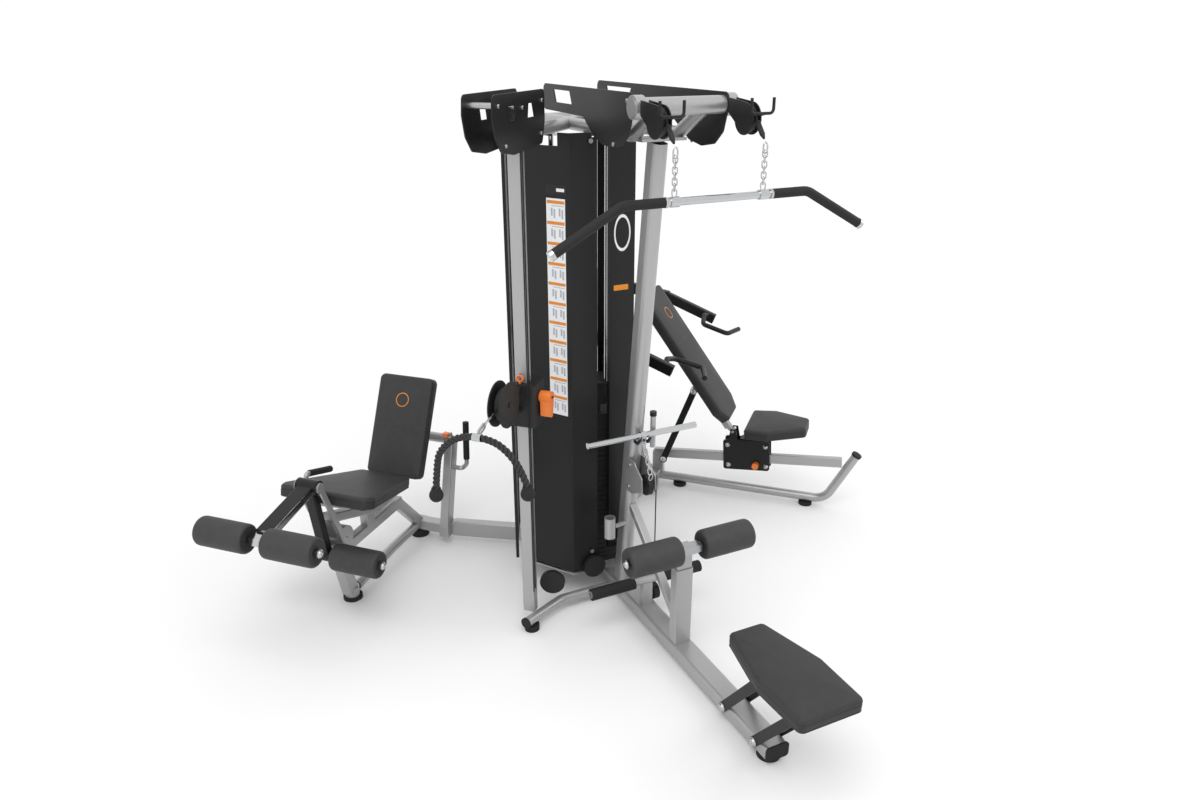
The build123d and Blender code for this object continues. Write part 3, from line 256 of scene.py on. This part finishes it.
MATERIALS = {
    "silver": speckled("silver_paint", (0.36, 0.36, 0.365), (0.42, 0.42, 0.425), 0.34, 900.0, 0.10,
                       metal=0.6, coat=0.25, shine=0.5),
    "black": speckled("black_paint", (0.006, 0.006, 0.0065), (0.010, 0.010, 0.0105), 0.42, 900.0, 0.12,
                      coat=0.08),
    "plastic": speckled("black_plastic", (0.012, 0.012, 0.013), (0.022, 0.022, 0.023), 0.48, 600.0,
                        0.25),
    "rubber": speckled("rubber", (0.011, 0.011, 0.012), (0.020, 0.020, 0.021), 0.68, 500.0, 0.4),
    "iron": speckled("cast_iron", (0.010, 0.010, 0.011), (0.020, 0.020, 0.021), 0.55, 350.0, 0.35),
    "orange": speckled("orange_plastic", (0.72, 0.165, 0.018), (0.82, 0.205, 0.026), 0.34, 500.0, 0.12,
                       coat=0.2, shine=0.4),
    "chrome": brushed("chrome", (0.50, 0.51, 0.52), 0.12),
    "steel": brushed("steel", (0.40, 0.405, 0.41), 0.28),
    "vinyl": leather("vinyl", (0.030, 0.030, 0.031), (0.035, 0.035, 0.036)),
    # darker copy of the vinyl for cushion sides and undersides: painted shade
    "vinyl_painted_shade": leather("vinyl_painted_shade", (0.022, 0.022, 0.023), (0.026, 0.026, 0.027)),
    # piping and sewn lines painted lighter than the vinyl: real piping with a painted highlight along
    # the pad edges
    "seam": speckled("seam_piping_painted_highlight", (0.040, 0.040, 0.041), (0.060, 0.060, 0.061), 0.40, 600.0, 0.2),
    "foam": foam("foam", (0.032, 0.032, 0.033), (0.037, 0.037, 0.038)),
    "foam_end": foam("foam_end", (0.014, 0.014, 0.015), (0.018, 0.018, 0.019)),
    "rope": speckled("rope_fibre", (0.022, 0.022, 0.023), (0.046, 0.046, 0.047), 0.70, 420.0, 0.6),
    "cable": speckled("cable", (0.008, 0.008, 0.008), (0.018, 0.018, 0.018), 0.38, 400.0, 0.3),
    "label": speckled("label_white", (0.72, 0.73, 0.74), (0.80, 0.81, 0.82), 0.42, 300.0, 0.03),
    "label_grey": speckled("label_grey", (0.34, 0.36, 0.40), (0.44, 0.46, 0.50), 0.42, 300.0, 0.03),
    "label_dark": speckled("label_dark", (0.012, 0.012, 0.012), (0.02, 0.02, 0.02), 0.42, 300.0, 0.03),
    "amber": speckled("label_orange", (0.62, 0.20, 0.02), (0.74, 0.27, 0.035), 0.42, 300.0, 0.03),
}

CAD_LOOKS = {
    "silver": ["base_frame", "mast", "column", "top_frame", "foot_bar", "socket_tube", "knee_post",
               "knee_slide", "leg_frame", "leg_back_mount", "press_base", "press_frame",
               "press_back_plate", "low_pulley"],
    "black": ["lat_top_plates", "column_top_plates", "shroud_front", "shroud_side", "shroud_leg",
              "shroud_press", "seat_links", "press_arms", "press_carriage", "press_strut",
              "leg_lever", "lat_pulleys"],
    "plastic": ["carriage", "swivel_pulley", "pulley_covers"],
    "chrome": ["guide_rods", "lat_bar", "row_bar", "carabiner"],
    "rubber": ["lat_grips", "feet", "grips_fixed", "rope_ends"],
    "iron": ["weight_stacks", "lat_head", "column_head", "leg_head", "press_head"],
    "orange": ["carriage_lever", "carriage_pin", "leg_trigger", "press_knob"],
    "steel": ["bolts"],
}


def paint_cad_nodes():
    """One look for every CAD node that is drawn as it was built."""
    for look, names in CAD_LOOKS.items():
        for name in names:
            mesh = NODES[name].data
            mesh.materials.clear()
            mesh.materials.append(MATERIALS[look])
            for face in mesh.polygons:
                face.material_index = 0


def repaint(node, look, inside):
    """Second finish on the faces of a CAD node whose middle passes the test."""
    mesh = NODES[node].data
    mesh.materials.append(MATERIALS[look])
    index = len(mesh.materials) - 1
    for face in mesh.polygons:
        if inside(face.center):
            face.material_index = index


# ---------------------------------------------------------------- mesh helpers
def mesh_piece(name, verts, faces, looks, indices=None, smooth=True):
    """Mesh object in the row frame, with one material per look and a look index per face."""
    mesh = bpy.data.meshes.new(name)
    mesh.from_pydata([tuple(v) for v in verts], [], faces)
    for look in looks:
        mesh.materials.append(MATERIALS[look])
    if indices:
        mesh.polygons.foreach_set("material_index", indices)
    mesh.polygons.foreach_set("use_smooth", [smooth] * len(mesh.polygons))
    piece = bpy.data.objects.new(name, mesh)
    bpy.context.scene.collection.objects.link(piece)
    return piece


def add_part(verts, faces, indices, new_verts, new_faces, index):
    """Appends one shape to lists that hold a whole piece."""
    base = len(verts)
    verts.extend(new_verts)
    faces.extend([tuple(base + i for i in face) for face in new_faces])
    indices.extend([index] * len(new_faces))


def tube(points, radius, sides=10, closed=False):
    """Round tube along points, as vertices and faces."""
    count = len(points)
    verts = []
    normal = None
    for i, point in enumerate(points):
        if closed:
            along = (points[(i + 1) % count] - points[i - 1]).normalized()
        else:
            along = (points[min(i + 1, count - 1)] - points[max(i - 1, 0)]).normalized()
        if normal is None:
            normal = along.orthogonal().normalized()
        normal = (normal - along * normal.dot(along)).normalized()
        side = along.cross(normal)
        for k in range(sides):
            turn = 2 * math.pi * k / sides
            verts.append(point + (normal * math.cos(turn) + side * math.sin(turn)) * radius)
    faces = []
    for i in range(count if closed else count - 1):
        j = (i + 1) % count
        for k in range(sides):
            m = (k + 1) % sides
            faces.append((i * sides + k, i * sides + m, j * sides + m, j * sides + k))
    if not closed:
        faces.append(tuple(reversed(range(sides))))
        faces.append(tuple((count - 1) * sides + k for k in range(sides)))
    return verts, faces


def lathe(start, end, profile, sides=40):
    """Turned shape: (radius, distance along) pairs in metres around the line from start to end."""
    along = (end - start).normalized()
    normal = along.orthogonal().normalized()
    side = along.cross(normal)
    verts = []
    for radius, reach in profile:
        for k in range(sides):
            turn = 2 * math.pi * k / sides
            ring = (normal * math.cos(turn) + side * math.sin(turn)) * radius
            verts.append(start + along * reach + ring)
    faces = []
    for i in range(len(profile) - 1):
        for k in range(sides):
            m = (k + 1) % sides
            faces.append((i * sides + k, i * sides + m, (i + 1) * sides + m, (i + 1) * sides + k))
    faces.append(tuple(reversed(range(sides))))
    faces.append(tuple((len(profile) - 1) * sides + k for k in range(sides)))
    return verts, faces


# ---------------------------------------------------------------- pull rope
ROPE_U = 1042                   # the rope hangs this far from the tower, in millimetres
ROPE_D, STRAND_R, LAY_R = 0.025, 0.0060, 0.0074
ROPE_TURN = 0.054               # length of one turn of the strands
ROPE_STEP = 0.0025              # spacing of points along the rope
BALL_R = 0.0262                 # rubber ball on each end
BALL_MIDDLE = 0.031             # middle of the ball below the top of its collar
ROPE_ROUTES = {
    "left": [(ROPE_U, -18.5, 1028), (ROPE_U, -62, 1023), (ROPE_U + 4, -108, 998),
             (ROPE_U + 4, -142, 962), (ROPE_U, -164, 918), (ROPE_U, -176, 802)],
    "right": [(ROPE_U, 18.5, 1028), (ROPE_U, 62, 1023), (ROPE_U + 4, 108, 998),
              (ROPE_U + 4, 142, 962), (ROPE_U, 164, 918), (ROPE_U, 184, 868)],
}


def smooth_line(name, points):
    """Points of the NURBS line whose control points are given."""
    data = bpy.data.curves.new(name, "CURVE")
    data.dimensions = "3D"
    spline = data.splines.new("NURBS")
    spline.points.add(len(points) - 1)
    for knot, point in zip(spline.points, points):
        knot.co = (*point, 1)
    spline.order_u = 3
    spline.use_endpoint_u = True
    spline.resolution_u = 24
    holder = bpy.data.objects.new(name, data)
    mesh = bpy.data.meshes.new_from_object(holder)
    line = [v.co.copy() for v in mesh.vertices]
    bpy.data.objects.remove(holder)
    bpy.data.meshes.remove(mesh)
    return line


def twisted(line, strands=3):
    """Strands laid around a line."""
    verts, faces, indices = [], [], []
    normals = []
    normal = None
    for i in range(len(line)):
        along = (line[min(i + 1, len(line) - 1)] - line[max(i - 1, 0)]).normalized()
        if normal is None:
            normal = along.orthogonal().normalized()
        normal = (normal - along * normal.dot(along)).normalized()
        normals.append((normal, along.cross(normal)))
    for s in range(strands):
        path = []
        run = 0.0
        for i, point in enumerate(line):
            if i:
                run += (point - line[i - 1]).length
            turn = 2 * math.pi * (run / ROPE_TURN + s / strands)
            path.append(point + (normals[i][0] * math.cos(turn)
                                 + normals[i][1] * math.sin(turn)) * LAY_R)
        add_part(verts, faces, indices, *tube(path, STRAND_R, 12), 0)
    return verts, faces, indices


def make_rope():
    """Both runs of the pull rope, each with its rubber ball."""
    for side, route in ROPE_ROUTES.items():
        line = smooth_line(f"rope_{side}_line", [at(COL, *p) for p in route])
        dense = []
        for a, b in zip(line, line[1:]):
            steps = max(1, round((b - a).length / ROPE_STEP))
            dense += [a.lerp(b, k / steps) for k in range(steps)]
        dense.append(line[-1])
        verts, faces, indices = twisted(dense)
        rope = mesh_piece(f"rope_{side}", verts, faces, ["rope"], indices)
        u, v, z = route[-1]
        out = 1 if v > 0 else -1
        top, low = at(COL, u, v, z + 3), at(COL, u, v + out * 2, z - 60)
        shape = [(0.0125, 0.0), (0.0165, 0.001), (0.018, 0.004), (0.018, 0.009), (0.021, 0.013)]
        for k in range(1, 12):
            angle = math.pi * (0.28 + 0.72 * k / 12)
            shape.append((BALL_R * math.sin(angle), BALL_MIDDLE - BALL_R * math.cos(angle)))
        ball = mesh_piece(f"rope_ball_{side}", *lathe(top, low, shape), ["rubber"])
        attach(rope, "pull_rope")
        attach(ball, "pull_rope")
        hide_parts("rope")
        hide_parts("rope_ends")


# ---------------------------------------------------------------- cushions
def rounded_outline(corners, radius, count=220):
    """Evenly spaced points along a closed outline with rounded corners."""
    line = []
    total = len(corners)
    for i in range(total):
        corner = Vector(corners[i])
        before = (Vector(corners[i - 1]) - corner).normalized()
        after = (Vector(corners[(i + 1) % total]) - corner).normalized()
        half = before.angle(after) / 2
        cut = min(radius / math.tan(half), 0.45 * (Vector(corners[i - 1]) - corner).length)
        bow = cut * math.tan(half)
        centre = corner + (before + after).normalized() * bow / math.sin(half)
        first, last = corner + before * cut - centre, corner + after * cut - centre
        sweep = first.angle_signed(last)
        for k in range(9):
            turn = -sweep * k / 8
            line.append(centre + Vector((first.x * math.cos(turn) - first.y * math.sin(turn),
                                         first.x * math.sin(turn) + first.y * math.cos(turn))))
    lengths = [(line[(i + 1) % len(line)] - line[i]).length for i in range(len(line))]
    step = sum(lengths) / count
    even = []
    travelled, i = 0.0, 0
    for k in range(count):
        while travelled + lengths[i] < k * step:
            travelled += lengths[i]
            i += 1
        share = (k * step - travelled) / lengths[i]
        even.append(line[i].lerp(line[(i + 1) % len(line)], share))
    return even


def inward(outline):
    """Inward unit normals of a counter-clockwise outline."""
    count = len(outline)
    out = []
    for i in range(count):
        along = (outline[(i + 1) % count] - outline[i - 1]).normalized()
        out.append(Vector((-along.y, along.x)))
    return out


PAD_T = 0.060
PAD_ROUND = 0.015               # rounding of the top panel into its band
CROWN = 0.007                   # rise of a cushion's middle above its edge
SEAM_LOW = 0.021                # seam below the top of the edge


def cushion(name, node, body, place, corners, radius, seams=(), ring=None):
    """Upholstered pad: crowned top panel, side band in a darker vinyl as painted shade, piping on both
    seams and sewn lines in a lighter look as a painted highlight.
    """
    area = sum(a[0] * b[1] - b[0] * a[1] for a, b in zip(corners, corners[1:] + corners[:1]))
    if area < 0:
        corners = corners[::-1]
    outline = rounded_outline([(x * MM, y * MM) for x, y in corners], radius)
    normals = inward(outline)
    middle = sum(outline, Vector((0, 0))) / len(outline)
    # (inset, height) of each ring: underside, slightly swelling band, seam, rounded top edge
    steps = [(0.004, -PAD_T), (0.0015, -PAD_T + 0.002), (0.0, -PAD_T + 0.006),
             (-0.0012, -0.042), (-0.0015, -0.033), (-0.0006, -0.025), (0.0014, -SEAM_LOW)]
    for k in range(7):
        angle = math.pi / 2 * k / 6
        steps.append((PAD_ROUND * (1 - math.cos(angle)) - 0.0012,
                      -CROWN - (PAD_ROUND - 0.002) * (1 - math.sin(angle))))
    rings = []
    for inset, height in steps:
        rings.append([(*(p + n * inset), height) for p, n in zip(outline, normals)])
    edge = rings[-1]
    for share in (0.94, 0.86, 0.76, 0.64, 0.5, 0.35, 0.2, 0.08):
        rise = CROWN * (1 - share ** 2.4)
        rings.append([(middle.x + (x - middle.x) * share, middle.y + (y - middle.y) * share,
                       -CROWN + rise) for x, y, _ in edge])
    count = len(outline)
    verts = [Vector(p) for line in rings for p in line]
    faces, indices = [], []
    # the band and underside take the darker vinyl as painted shade; the top edge and panel take the
    # plain vinyl
    for i in range(len(rings) - 1):
        for k in range(count):
            m = (k + 1) % count
            faces.append((i * count + k, i * count + m, (i + 1) * count + m, (i + 1) * count + k))
            indices.append(0 if i >= 6 else 1)
    verts += [Vector((middle.x, middle.y, 0.0)), Vector((middle.x, middle.y, -PAD_T))]
    top, low = len(verts) - 2, len(verts) - 1
    for k in range(count):
        m = (k + 1) % count
        faces.append(((len(rings) - 1) * count + k, (len(rings) - 1) * count + m, top))
        indices.append(0)
        faces.append((m, k, low))
        indices.append(1)
    surface = BVHTree.FromPolygons(verts, faces)

    def on_top(x, y, sunk):
        """Point of the top panel under (x, y), or None past its edge."""
        hit = surface.ray_cast(Vector((x, y, 0.1)), Vector((0, 0, -1)))[0]
        return None if hit is None else hit + Vector((0, 0, -sunk))

    # piping beads and, below, sewn lines take the seam look: real piping painted lighter than the
    # vinyl as a highlight
    for depth, inset in ((SEAM_LOW, -0.0006), (PAD_T - 0.005, 0.0)):
        line = [Vector((*(p + n * inset), -depth)) for p, n in zip(outline, normals)]
        add_part(verts, faces, indices, *tube(line, 0.0014, 8, closed=True), 2)
    width = max(abs(p.x) for p in outline)
    for y in seams:
        line = [on_top(x, y * MM, 0.0006) for x in
                [width * 0.985 * (k / 40 - 1) for k in range(81)]]
        line = [p for p in line if p is not None]
        add_part(verts, faces, indices, *tube(line, 0.0016, 8), 2)
    if ring:
        x, y, r, thick = (value * MM for value in ring)
        line = [on_top(x + r * math.cos(2 * math.pi * k / 48), y + r * math.sin(2 * math.pi * k / 48),
                       thick * 0.75) for k in range(48)]
        add_part(verts, faces, indices, *tube(line, thick, 8, closed=True), 3)
    piece = mesh_piece(name, [place @ v for v in verts], faces,
                       ["vinyl", "vinyl_painted_shade", "seam", "amber"], indices)
    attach(piece, body)
    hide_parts(node)


def plane_matrix(place, origin, x_dir, z_dir):
    """Matrix of a cushion's own plane from a station's millimetres."""
    x_axis = Vector(x_dir).normalized()
    z_axis = Vector(z_dir).normalized()
    y_axis = z_axis.cross(x_axis)
    turn = Matrix((x_axis, y_axis, z_axis)).transposed().to_4x4()
    return place @ Matrix.Translation(Vector(origin) * MM) @ turn


def make_cushions():
    """Seats and backrests; corners are millimetres in each cushion's own plane."""
    flat = plane_matrix(LAT, (0, 0, 420), (1, 0, 0), (0, 0, 1))
    cushion("pulldown_seat", "lat_seat", "frame", flat,
            [(1351, -70), (1603, -128), (1822, -122), (1822, 122), (1603, 128), (1351, 70)], 0.020)
    tilt = math.radians(16)
    seat = plane_matrix(LEG, (852, 0, 597), (math.cos(tilt), 0, math.sin(tilt)),
                        (-math.sin(tilt), 0, math.cos(tilt)))
    cushion("leg_seat_pad", "leg_seat", "frame", seat,
            [(-490, -128), (-48, -219), (0, -200), (0, 200), (-48, 219), (-490, 128)], 0.022)
    back = Vector((-187, 0, 400)).normalized()
    rest = plane_matrix(LEG, (333, 0, 445), (0, 1, 0), Vector((0, 1, 0)).cross(back))
    cushion("leg_back_pad", "leg_back", "leg_back", rest,
            [(-138, -26), (138, -26), (138, 442), (-138, 442)], 0.024, seams=(208,),
            ring=(0, 330, 31, 3.6))
    level = plane_matrix(PRESS, (757, 0, 456), (0.997, 0, 0.075), (-0.075, 0, 0.997))
    cushion("press_seat_pad", "press_seat", "press_carriage", level,
            [(-123, -150), (0, -157), (181, -72), (181, 72), (0, 157), (-123, 150)], 0.018)
    back = Vector((-460, 0, 630)).normalized()
    rest = plane_matrix(PRESS, (560, 0, 470), (0, 1, 0), Vector((0, 1, 0)).cross(back))
    cushion("press_back_pad", "press_back", "press_back", rest,
            [(-90, 0), (90, 0), (138, 70), (138, 780), (-138, 780), (-138, 70)], 0.018,
            seams=(482,), ring=(0, 636, 31, 3.6))


# ---------------------------------------------------------------- rollers
ROLLER_HALF = 108.5             # half a roller's length, in millimetres
ROLLER_L, ROLLER_R = 2 * ROLLER_HALF * MM, 0.0575
ROLLER_SIDES = 64


def roller(name, node, body, a, b):
    """Foam roller with softly rounded ends and dished end faces, from a to b."""
    half = [(0.0102, 0.007), (0.022, 0.0055), (0.034, 0.0025), (0.043, 0.0006), (0.049, 0.001),
            (0.0535, 0.0035), (0.0564, 0.008), (ROLLER_R, 0.015), (ROLLER_R, 0.05),
            (ROLLER_R + 0.0002, ROLLER_L / 2)]
    profile = half + [(r, ROLLER_L - h) for r, h in reversed(half[:-1])]
    verts, faces = lathe(a, b, profile, ROLLER_SIDES)
    faces = faces[:-2]          # the flat caps give way to the wall of the bore
    base = (len(profile) - 1) * ROLLER_SIDES
    for k in range(ROLLER_SIDES):
        m = (k + 1) % ROLLER_SIDES
        faces.append((m, k, base + k, base + m))
    indices = []
    for i in range(len(profile) - 1):
        indices += [1 if i < 4 or i >= len(profile) - 5 else 0] * ROLLER_SIDES
    indices += [1] * ROLLER_SIDES
    piece = mesh_piece(name, verts, faces, ["foam", "foam_end"], indices)
    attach(piece, body)
    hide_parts(node)


def cap_bolt(name, body, a, b, radius=0.0125):
    """Domed chrome bolt head on a washer, standing from a towards b."""
    profile = [(radius * 1.35, 0.0), (radius * 1.35, 0.0022), (radius, 0.0024), (radius, 0.005),
               (radius * 0.86, 0.0076), (radius * 0.55, 0.0092), (radius * 0.30, 0.0096),
               (radius * 0.28, 0.0062), (radius * 0.02, 0.006)]
    piece = mesh_piece(name, *lathe(a, b, profile, 28), ["chrome"])
    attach(piece, body)


KNEE_U, KNEE_Z, KNEE_V = 970, 522, 157
LEG_ROLLERS = {"front": (1253, 576), "rear": (872, 300)}
LEG_ROLLER_V = 149


def make_rollers():
    """Knee rollers and leg rollers, with a bolt head outside each."""
    for side, s in (("left", -1), ("right", 1)):
        low, high = KNEE_V - ROLLER_HALF, KNEE_V + ROLLER_HALF
        roller(f"knee_pad_{side}", f"knee_roller_{side}", f"knee_roller_{side}",
               at(LAT, KNEE_U, s * low, KNEE_Z), at(LAT, KNEE_U, s * high, KNEE_Z))
        cap_bolt(f"knee_bolt_{side}", "knee_slide", at(LAT, KNEE_U, s * 270.2, KNEE_Z),
                 at(LAT, KNEE_U, s * 300, KNEE_Z))
    for row, (u, z) in LEG_ROLLERS.items():
        for side, s in (("left", -1), ("right", 1)):
            low, high = LEG_ROLLER_V - ROLLER_HALF, LEG_ROLLER_V + ROLLER_HALF
            roller(f"leg_pad_{row}_{side}", f"leg_rollers_{row}", f"leg_rollers_{row}",
                   at(LEG, u, s * low, z), at(LEG, u, s * high, z))
            cap_bolt(f"leg_bolt_{row}_{side}", "leg_lever", at(LEG, u, s * 269.8, z),
                     at(LEG, u, s * 300, z))


# ---------------------------------------------------------------- chains and cables
WIRE_R, LINK_W = 0.0023, 0.0150
SNAP_R, SNAP_HALF = 0.0026, 8   # wire of a snap hook, and half its width in millimetres
CHAIN_LINKS = 7


def link_line(middle, along, side, length):
    """Closed oval of one chain link."""
    straight = length / 2 - LINK_W / 2
    line = []
    for k in range(16):
        turn = math.pi * k / 15 - math.pi / 2
        line.append(middle + along * (straight + LINK_W / 2 * math.cos(turn))
                    + side * (LINK_W / 2 * math.sin(turn)))
    for k in range(16):
        turn = math.pi * k / 15 + math.pi / 2
        line.append(middle + along * (-straight + LINK_W / 2 * math.cos(turn))
                    + side * (LINK_W / 2 * math.sin(turn)))
    return line


def chain_shape(verts, faces, indices, top, low):
    """Oval links from top to low, each turned across the one before."""
    pitch = (low - top).length / CHAIN_LINKS
    along = (low - top).normalized()
    across = along.orthogonal().normalized()
    for i in range(CHAIN_LINKS):
        side = across if i % 2 else along.cross(across)
        middle = top + along * pitch * (i + 0.5)
        add_part(verts, faces, indices,
                 *tube(link_line(middle, along, side, pitch + 2.4 * WIRE_R + 0.002), WIRE_R, 8,
                       closed=True), 0)


def snap_shape(verts, faces, indices, place, middle, lean, tall):
    """Oval snap hook round a middle in a station's millimetres."""
    u, v, z = middle
    line = []
    for k in range(24):
        turn = k * math.pi / 12
        line.append(at(place, u + lean * math.cos(turn), v + SNAP_HALF * math.sin(turn),
                       z + tall * math.cos(turn)))
    add_part(verts, faces, indices, *tube(line, SNAP_R, 8, closed=True), 0)


BAR_U, PULLEY_V = 1056, 165


def make_chains():
    """Chains of the pulldown bar and the row bar, with their snap hooks."""
    for side, s in (("left", -1), ("right", 1)):
        v = s * PULLEY_V
        verts, faces, indices = [], [], []
        chain_shape(verts, faces, indices, at(LAT, BAR_U, v, 1978), at(LAT, BAR_U, v, 1860))
        snap_shape(verts, faces, indices, LAT, (BAR_U, v, 1988), 0, 17)
        add_part(verts, faces, indices,
                 *lathe(at(LAT, 1003, v, 2066), at(LAT, 1046, v, 2014),
                        [(0.0055, 0), (0.0085, 0.004), (0.0088, 0.050), (0.0068, 0.056),
                         (0.0035, 0.067)], 24), 1)
        piece = mesh_piece(f"bar_chain_{side}", verts, faces, ["chrome", "plastic"], indices)
        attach(piece, "lat_pull")
        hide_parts("lat_chains")
    verts, faces, indices = [], [], []
    chain_shape(verts, faces, indices, at(LAT, 589, 0, 818), at(LAT, 652, 0, 690))
    snap_shape(verts, faces, indices, LAT, (656, 0, 678), 4, 16)
    piece = mesh_piece("row_bar_chain", verts, faces, ["chrome"], indices)
    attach(piece, "row_pull")
    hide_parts("row_chain")


CABLE_R = 0.0026


def cable_mesh(name, points):
    """Steel cable along points."""
    return mesh_piece(name, *tube(points, CABLE_R, 10), ["cable"])


def long_line(a, b, steps):
    """Evenly spaced points from a to b."""
    return [a.lerp(b, k / steps) for k in range(steps + 1)]


def make_cables():
    """Fixed runs on the frame, and the short runs at the pulldown bar and at the rope."""
    for name, start, end, steps in (
            ("column_cable_a", at(COL, 662, 34, 2100), at(COL, 662, 34, 190), 8),
            ("column_cable_b", at(COL, 690, 40, 2096), at(COL, 690, 40, 190), 8),
            ("low_cable", at(LAT, 585, 67, 88), at(LAT, 585, 67, 640), 4)):
        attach(cable_mesh(name, long_line(start, end, steps)), "frame")
    for side, s in (("left", -1), ("right", 1)):
        line = long_line(at(LAT, 985, s * PULLEY_V, 2098), at(LAT, 1003, s * PULLEY_V, 2066), 6)
        piece = cable_mesh(f"bar_cable_{side}", line)
        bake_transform(piece)
    line = long_line(at(COL, 872, 0, 1066), at(COL, 912, 0, 1061), 6)
    piece = cable_mesh("rope_cable", line)
    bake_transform(piece)


# ---------------------------------------------------------------- labels on the shrouds
PRINT_LIFT, SECOND_LIFT = 0.5, 0.7          # printed layers above the wall, in millimetres
STRIP_ROWS, STRIP_TOP, STRIP_PITCH = 11, 1734, 79
RING_POINTS = 48


def panel(corner, along, outward, s0, s1, z0, z1, look, lift):
    """Printed panel on a wall and its look: s runs along the wall from a corner, z up."""
    a = corner + along * s0 * MM + outward * lift * MM
    b = corner + along * s1 * MM + outward * lift * MM
    up0, up1 = Vector((0, 0, z0 * MM)), Vector((0, 0, z1 * MM))
    return [a + up0, b + up0, b + up1, a + up1], look


def make_labels():
    """Blank exercise strip, a plain ring and an orange bar on the shrouds."""
    corner = at(HALL, -214, -374, 0)
    far = at(HALL, -343, -171, 0)
    along = (far - corner).normalized()
    outward = Vector((-along.y, along.x, 0))
    if outward.dot(corner - TOWER) < 0:
        outward = -outward
    shapes = [(21, 107, 870, 1750, "label", PRINT_LIFT),
              (14, 110, 1764, 1800, "label_dark", PRINT_LIFT),
              (24, 60, 1776, 1788, "label", SECOND_LIFT)]
    for k in range(STRIP_ROWS):
        z = STRIP_TOP - STRIP_PITCH * k
        shapes.append((24, 104, z - 4, z + 8, "amber", SECOND_LIFT))
        shapes.append((28, 84, z - 13, z - 10, "label_grey", SECOND_LIFT))
        for s0, s1, low, high in ((30, 38, -58, -24), (42, 50, -50, -20),
                                  (66, 74, -58, -24), (78, 86, -50, -20)):
            shapes.append((s0, s1, z + low, z + high, "label_grey", SECOND_LIFT))
    quads = [panel(corner, along, outward, *shape) for shape in shapes]
    verts, faces, indices = [], [], []
    looks = ["label", "label_dark", "amber", "label_grey"]
    for quad, look in quads:
        add_part(verts, faces, indices, quad, [(0, 1, 2, 3)], looks.index(look))
    corner = at(HALL, 62, -374, 0)
    outward, along = Vector((0, -1, 0)), Vector((-1, 0, 0))
    ring_out, ring_in = [], []
    for k in range(RING_POINTS):
        turn = 2 * math.pi * k / RING_POINTS
        for store, radius in ((ring_out, 0.036), (ring_in, 0.030)):
            store.append(at(HALL, 8, -374.5, 1608)
                         + Vector((radius * math.cos(turn), 0, 2 * radius * math.sin(turn))))
    ring_faces = [(k, (k + 1) % RING_POINTS, RING_POINTS + (k + 1) % RING_POINTS, RING_POINTS + k)
                  for k in range(RING_POINTS)]
    add_part(verts, faces, indices, ring_out + ring_in, ring_faces, 0)
    quad, look = panel(corner, along, outward, 26, 90, 1380, 1402, "amber", PRINT_LIFT)
    add_part(verts, faces, indices, quad, [(0, 1, 2, 3)], looks.index(look))
    piece = mesh_piece("shroud_labels", verts, faces, looks, indices, smooth=False)
    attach(piece, "frame")


# ---------------------------------------------------------------- second finishes on CAD nodes
def local(place, point):
    """Millimetres in a station's axes of a point in the row frame."""
    return (place.inverted() @ point) / MM


def second_finishes():
    """Chrome, steel, rubber and plastic parts of nodes that hold several finishes."""
    repaint("leg_lever", "chrome", lambda p: (abs(local(LEG, p).y) > 33
            and local(LEG, p).z < 620) or local(LEG, p).x > 1190)
    repaint("knee_slide", "chrome", lambda p: abs(local(LAT, p).y) > 42.5)
    repaint("knee_slide", "steel", lambda p: abs(local(LAT, p).y) < 42.5
            and local(LAT, p).z > 499)
    repaint("low_pulley", "plastic", lambda p: abs(local(LAT, p).y) < 28
            and local(LAT, p).x > 574 and local(LAT, p).z < 690)
    repaint("low_pulley", "black", lambda p: local(LAT, p).z > 896 or
            (abs(local(LAT, p).y) > 50 and local(LAT, p).z < 130))
    repaint("low_pulley", "rubber", lambda p: 15 < abs(local(LAT, p).y) < 29
            and local(LAT, p).z > 740 and local(LAT, p).x > 560)
    repaint("column_top_plates", "steel", lambda p: abs(local(COL, p).y) < 49.2)
    repaint("carriage", "black", lambda p: local(COL, p).y > 64.5)


def make_bolts():
    """Large domed bolts on the moving and slanted plates."""
    for i, u in enumerate((1305, 1500)):
        for side, s in (("left", -1), ("right", 1)):
            cap_bolt(f"link_bolt_{i}_{side}", "frame", at(LAT, u + 8, s * 53, 56),
                     at(LAT, u + 8, s * 80, 56), 0.0135)
    for i, (u, z) in enumerate(((536, 292), (736, 308), (546, 178), (746, 196))):
        cap_bolt(f"carriage_bolt_{i}", "press_carriage", at(PRESS, u, -32, z),
                 at(PRESS, u, -60, z), 0.0095)
    cap_bolt("strut_bolt_top", "press_strut", at(PRESS, 354, -92, 600), at(PRESS, 354, -120, 600),
             0.015)
    cap_bolt("strut_bolt_low", "press_strut", at(PRESS, 196, -79, 176), at(PRESS, 196, -110, 176),
             0.012)


def main():
    """Builds the whole scene."""
    make_camera()
    make_studio()
    make_rope()
    paint_cad_nodes()
    second_finishes()
    make_cushions()
    make_rollers()
    make_chains()
    make_cables()
    make_bolts()
    make_labels()


main()
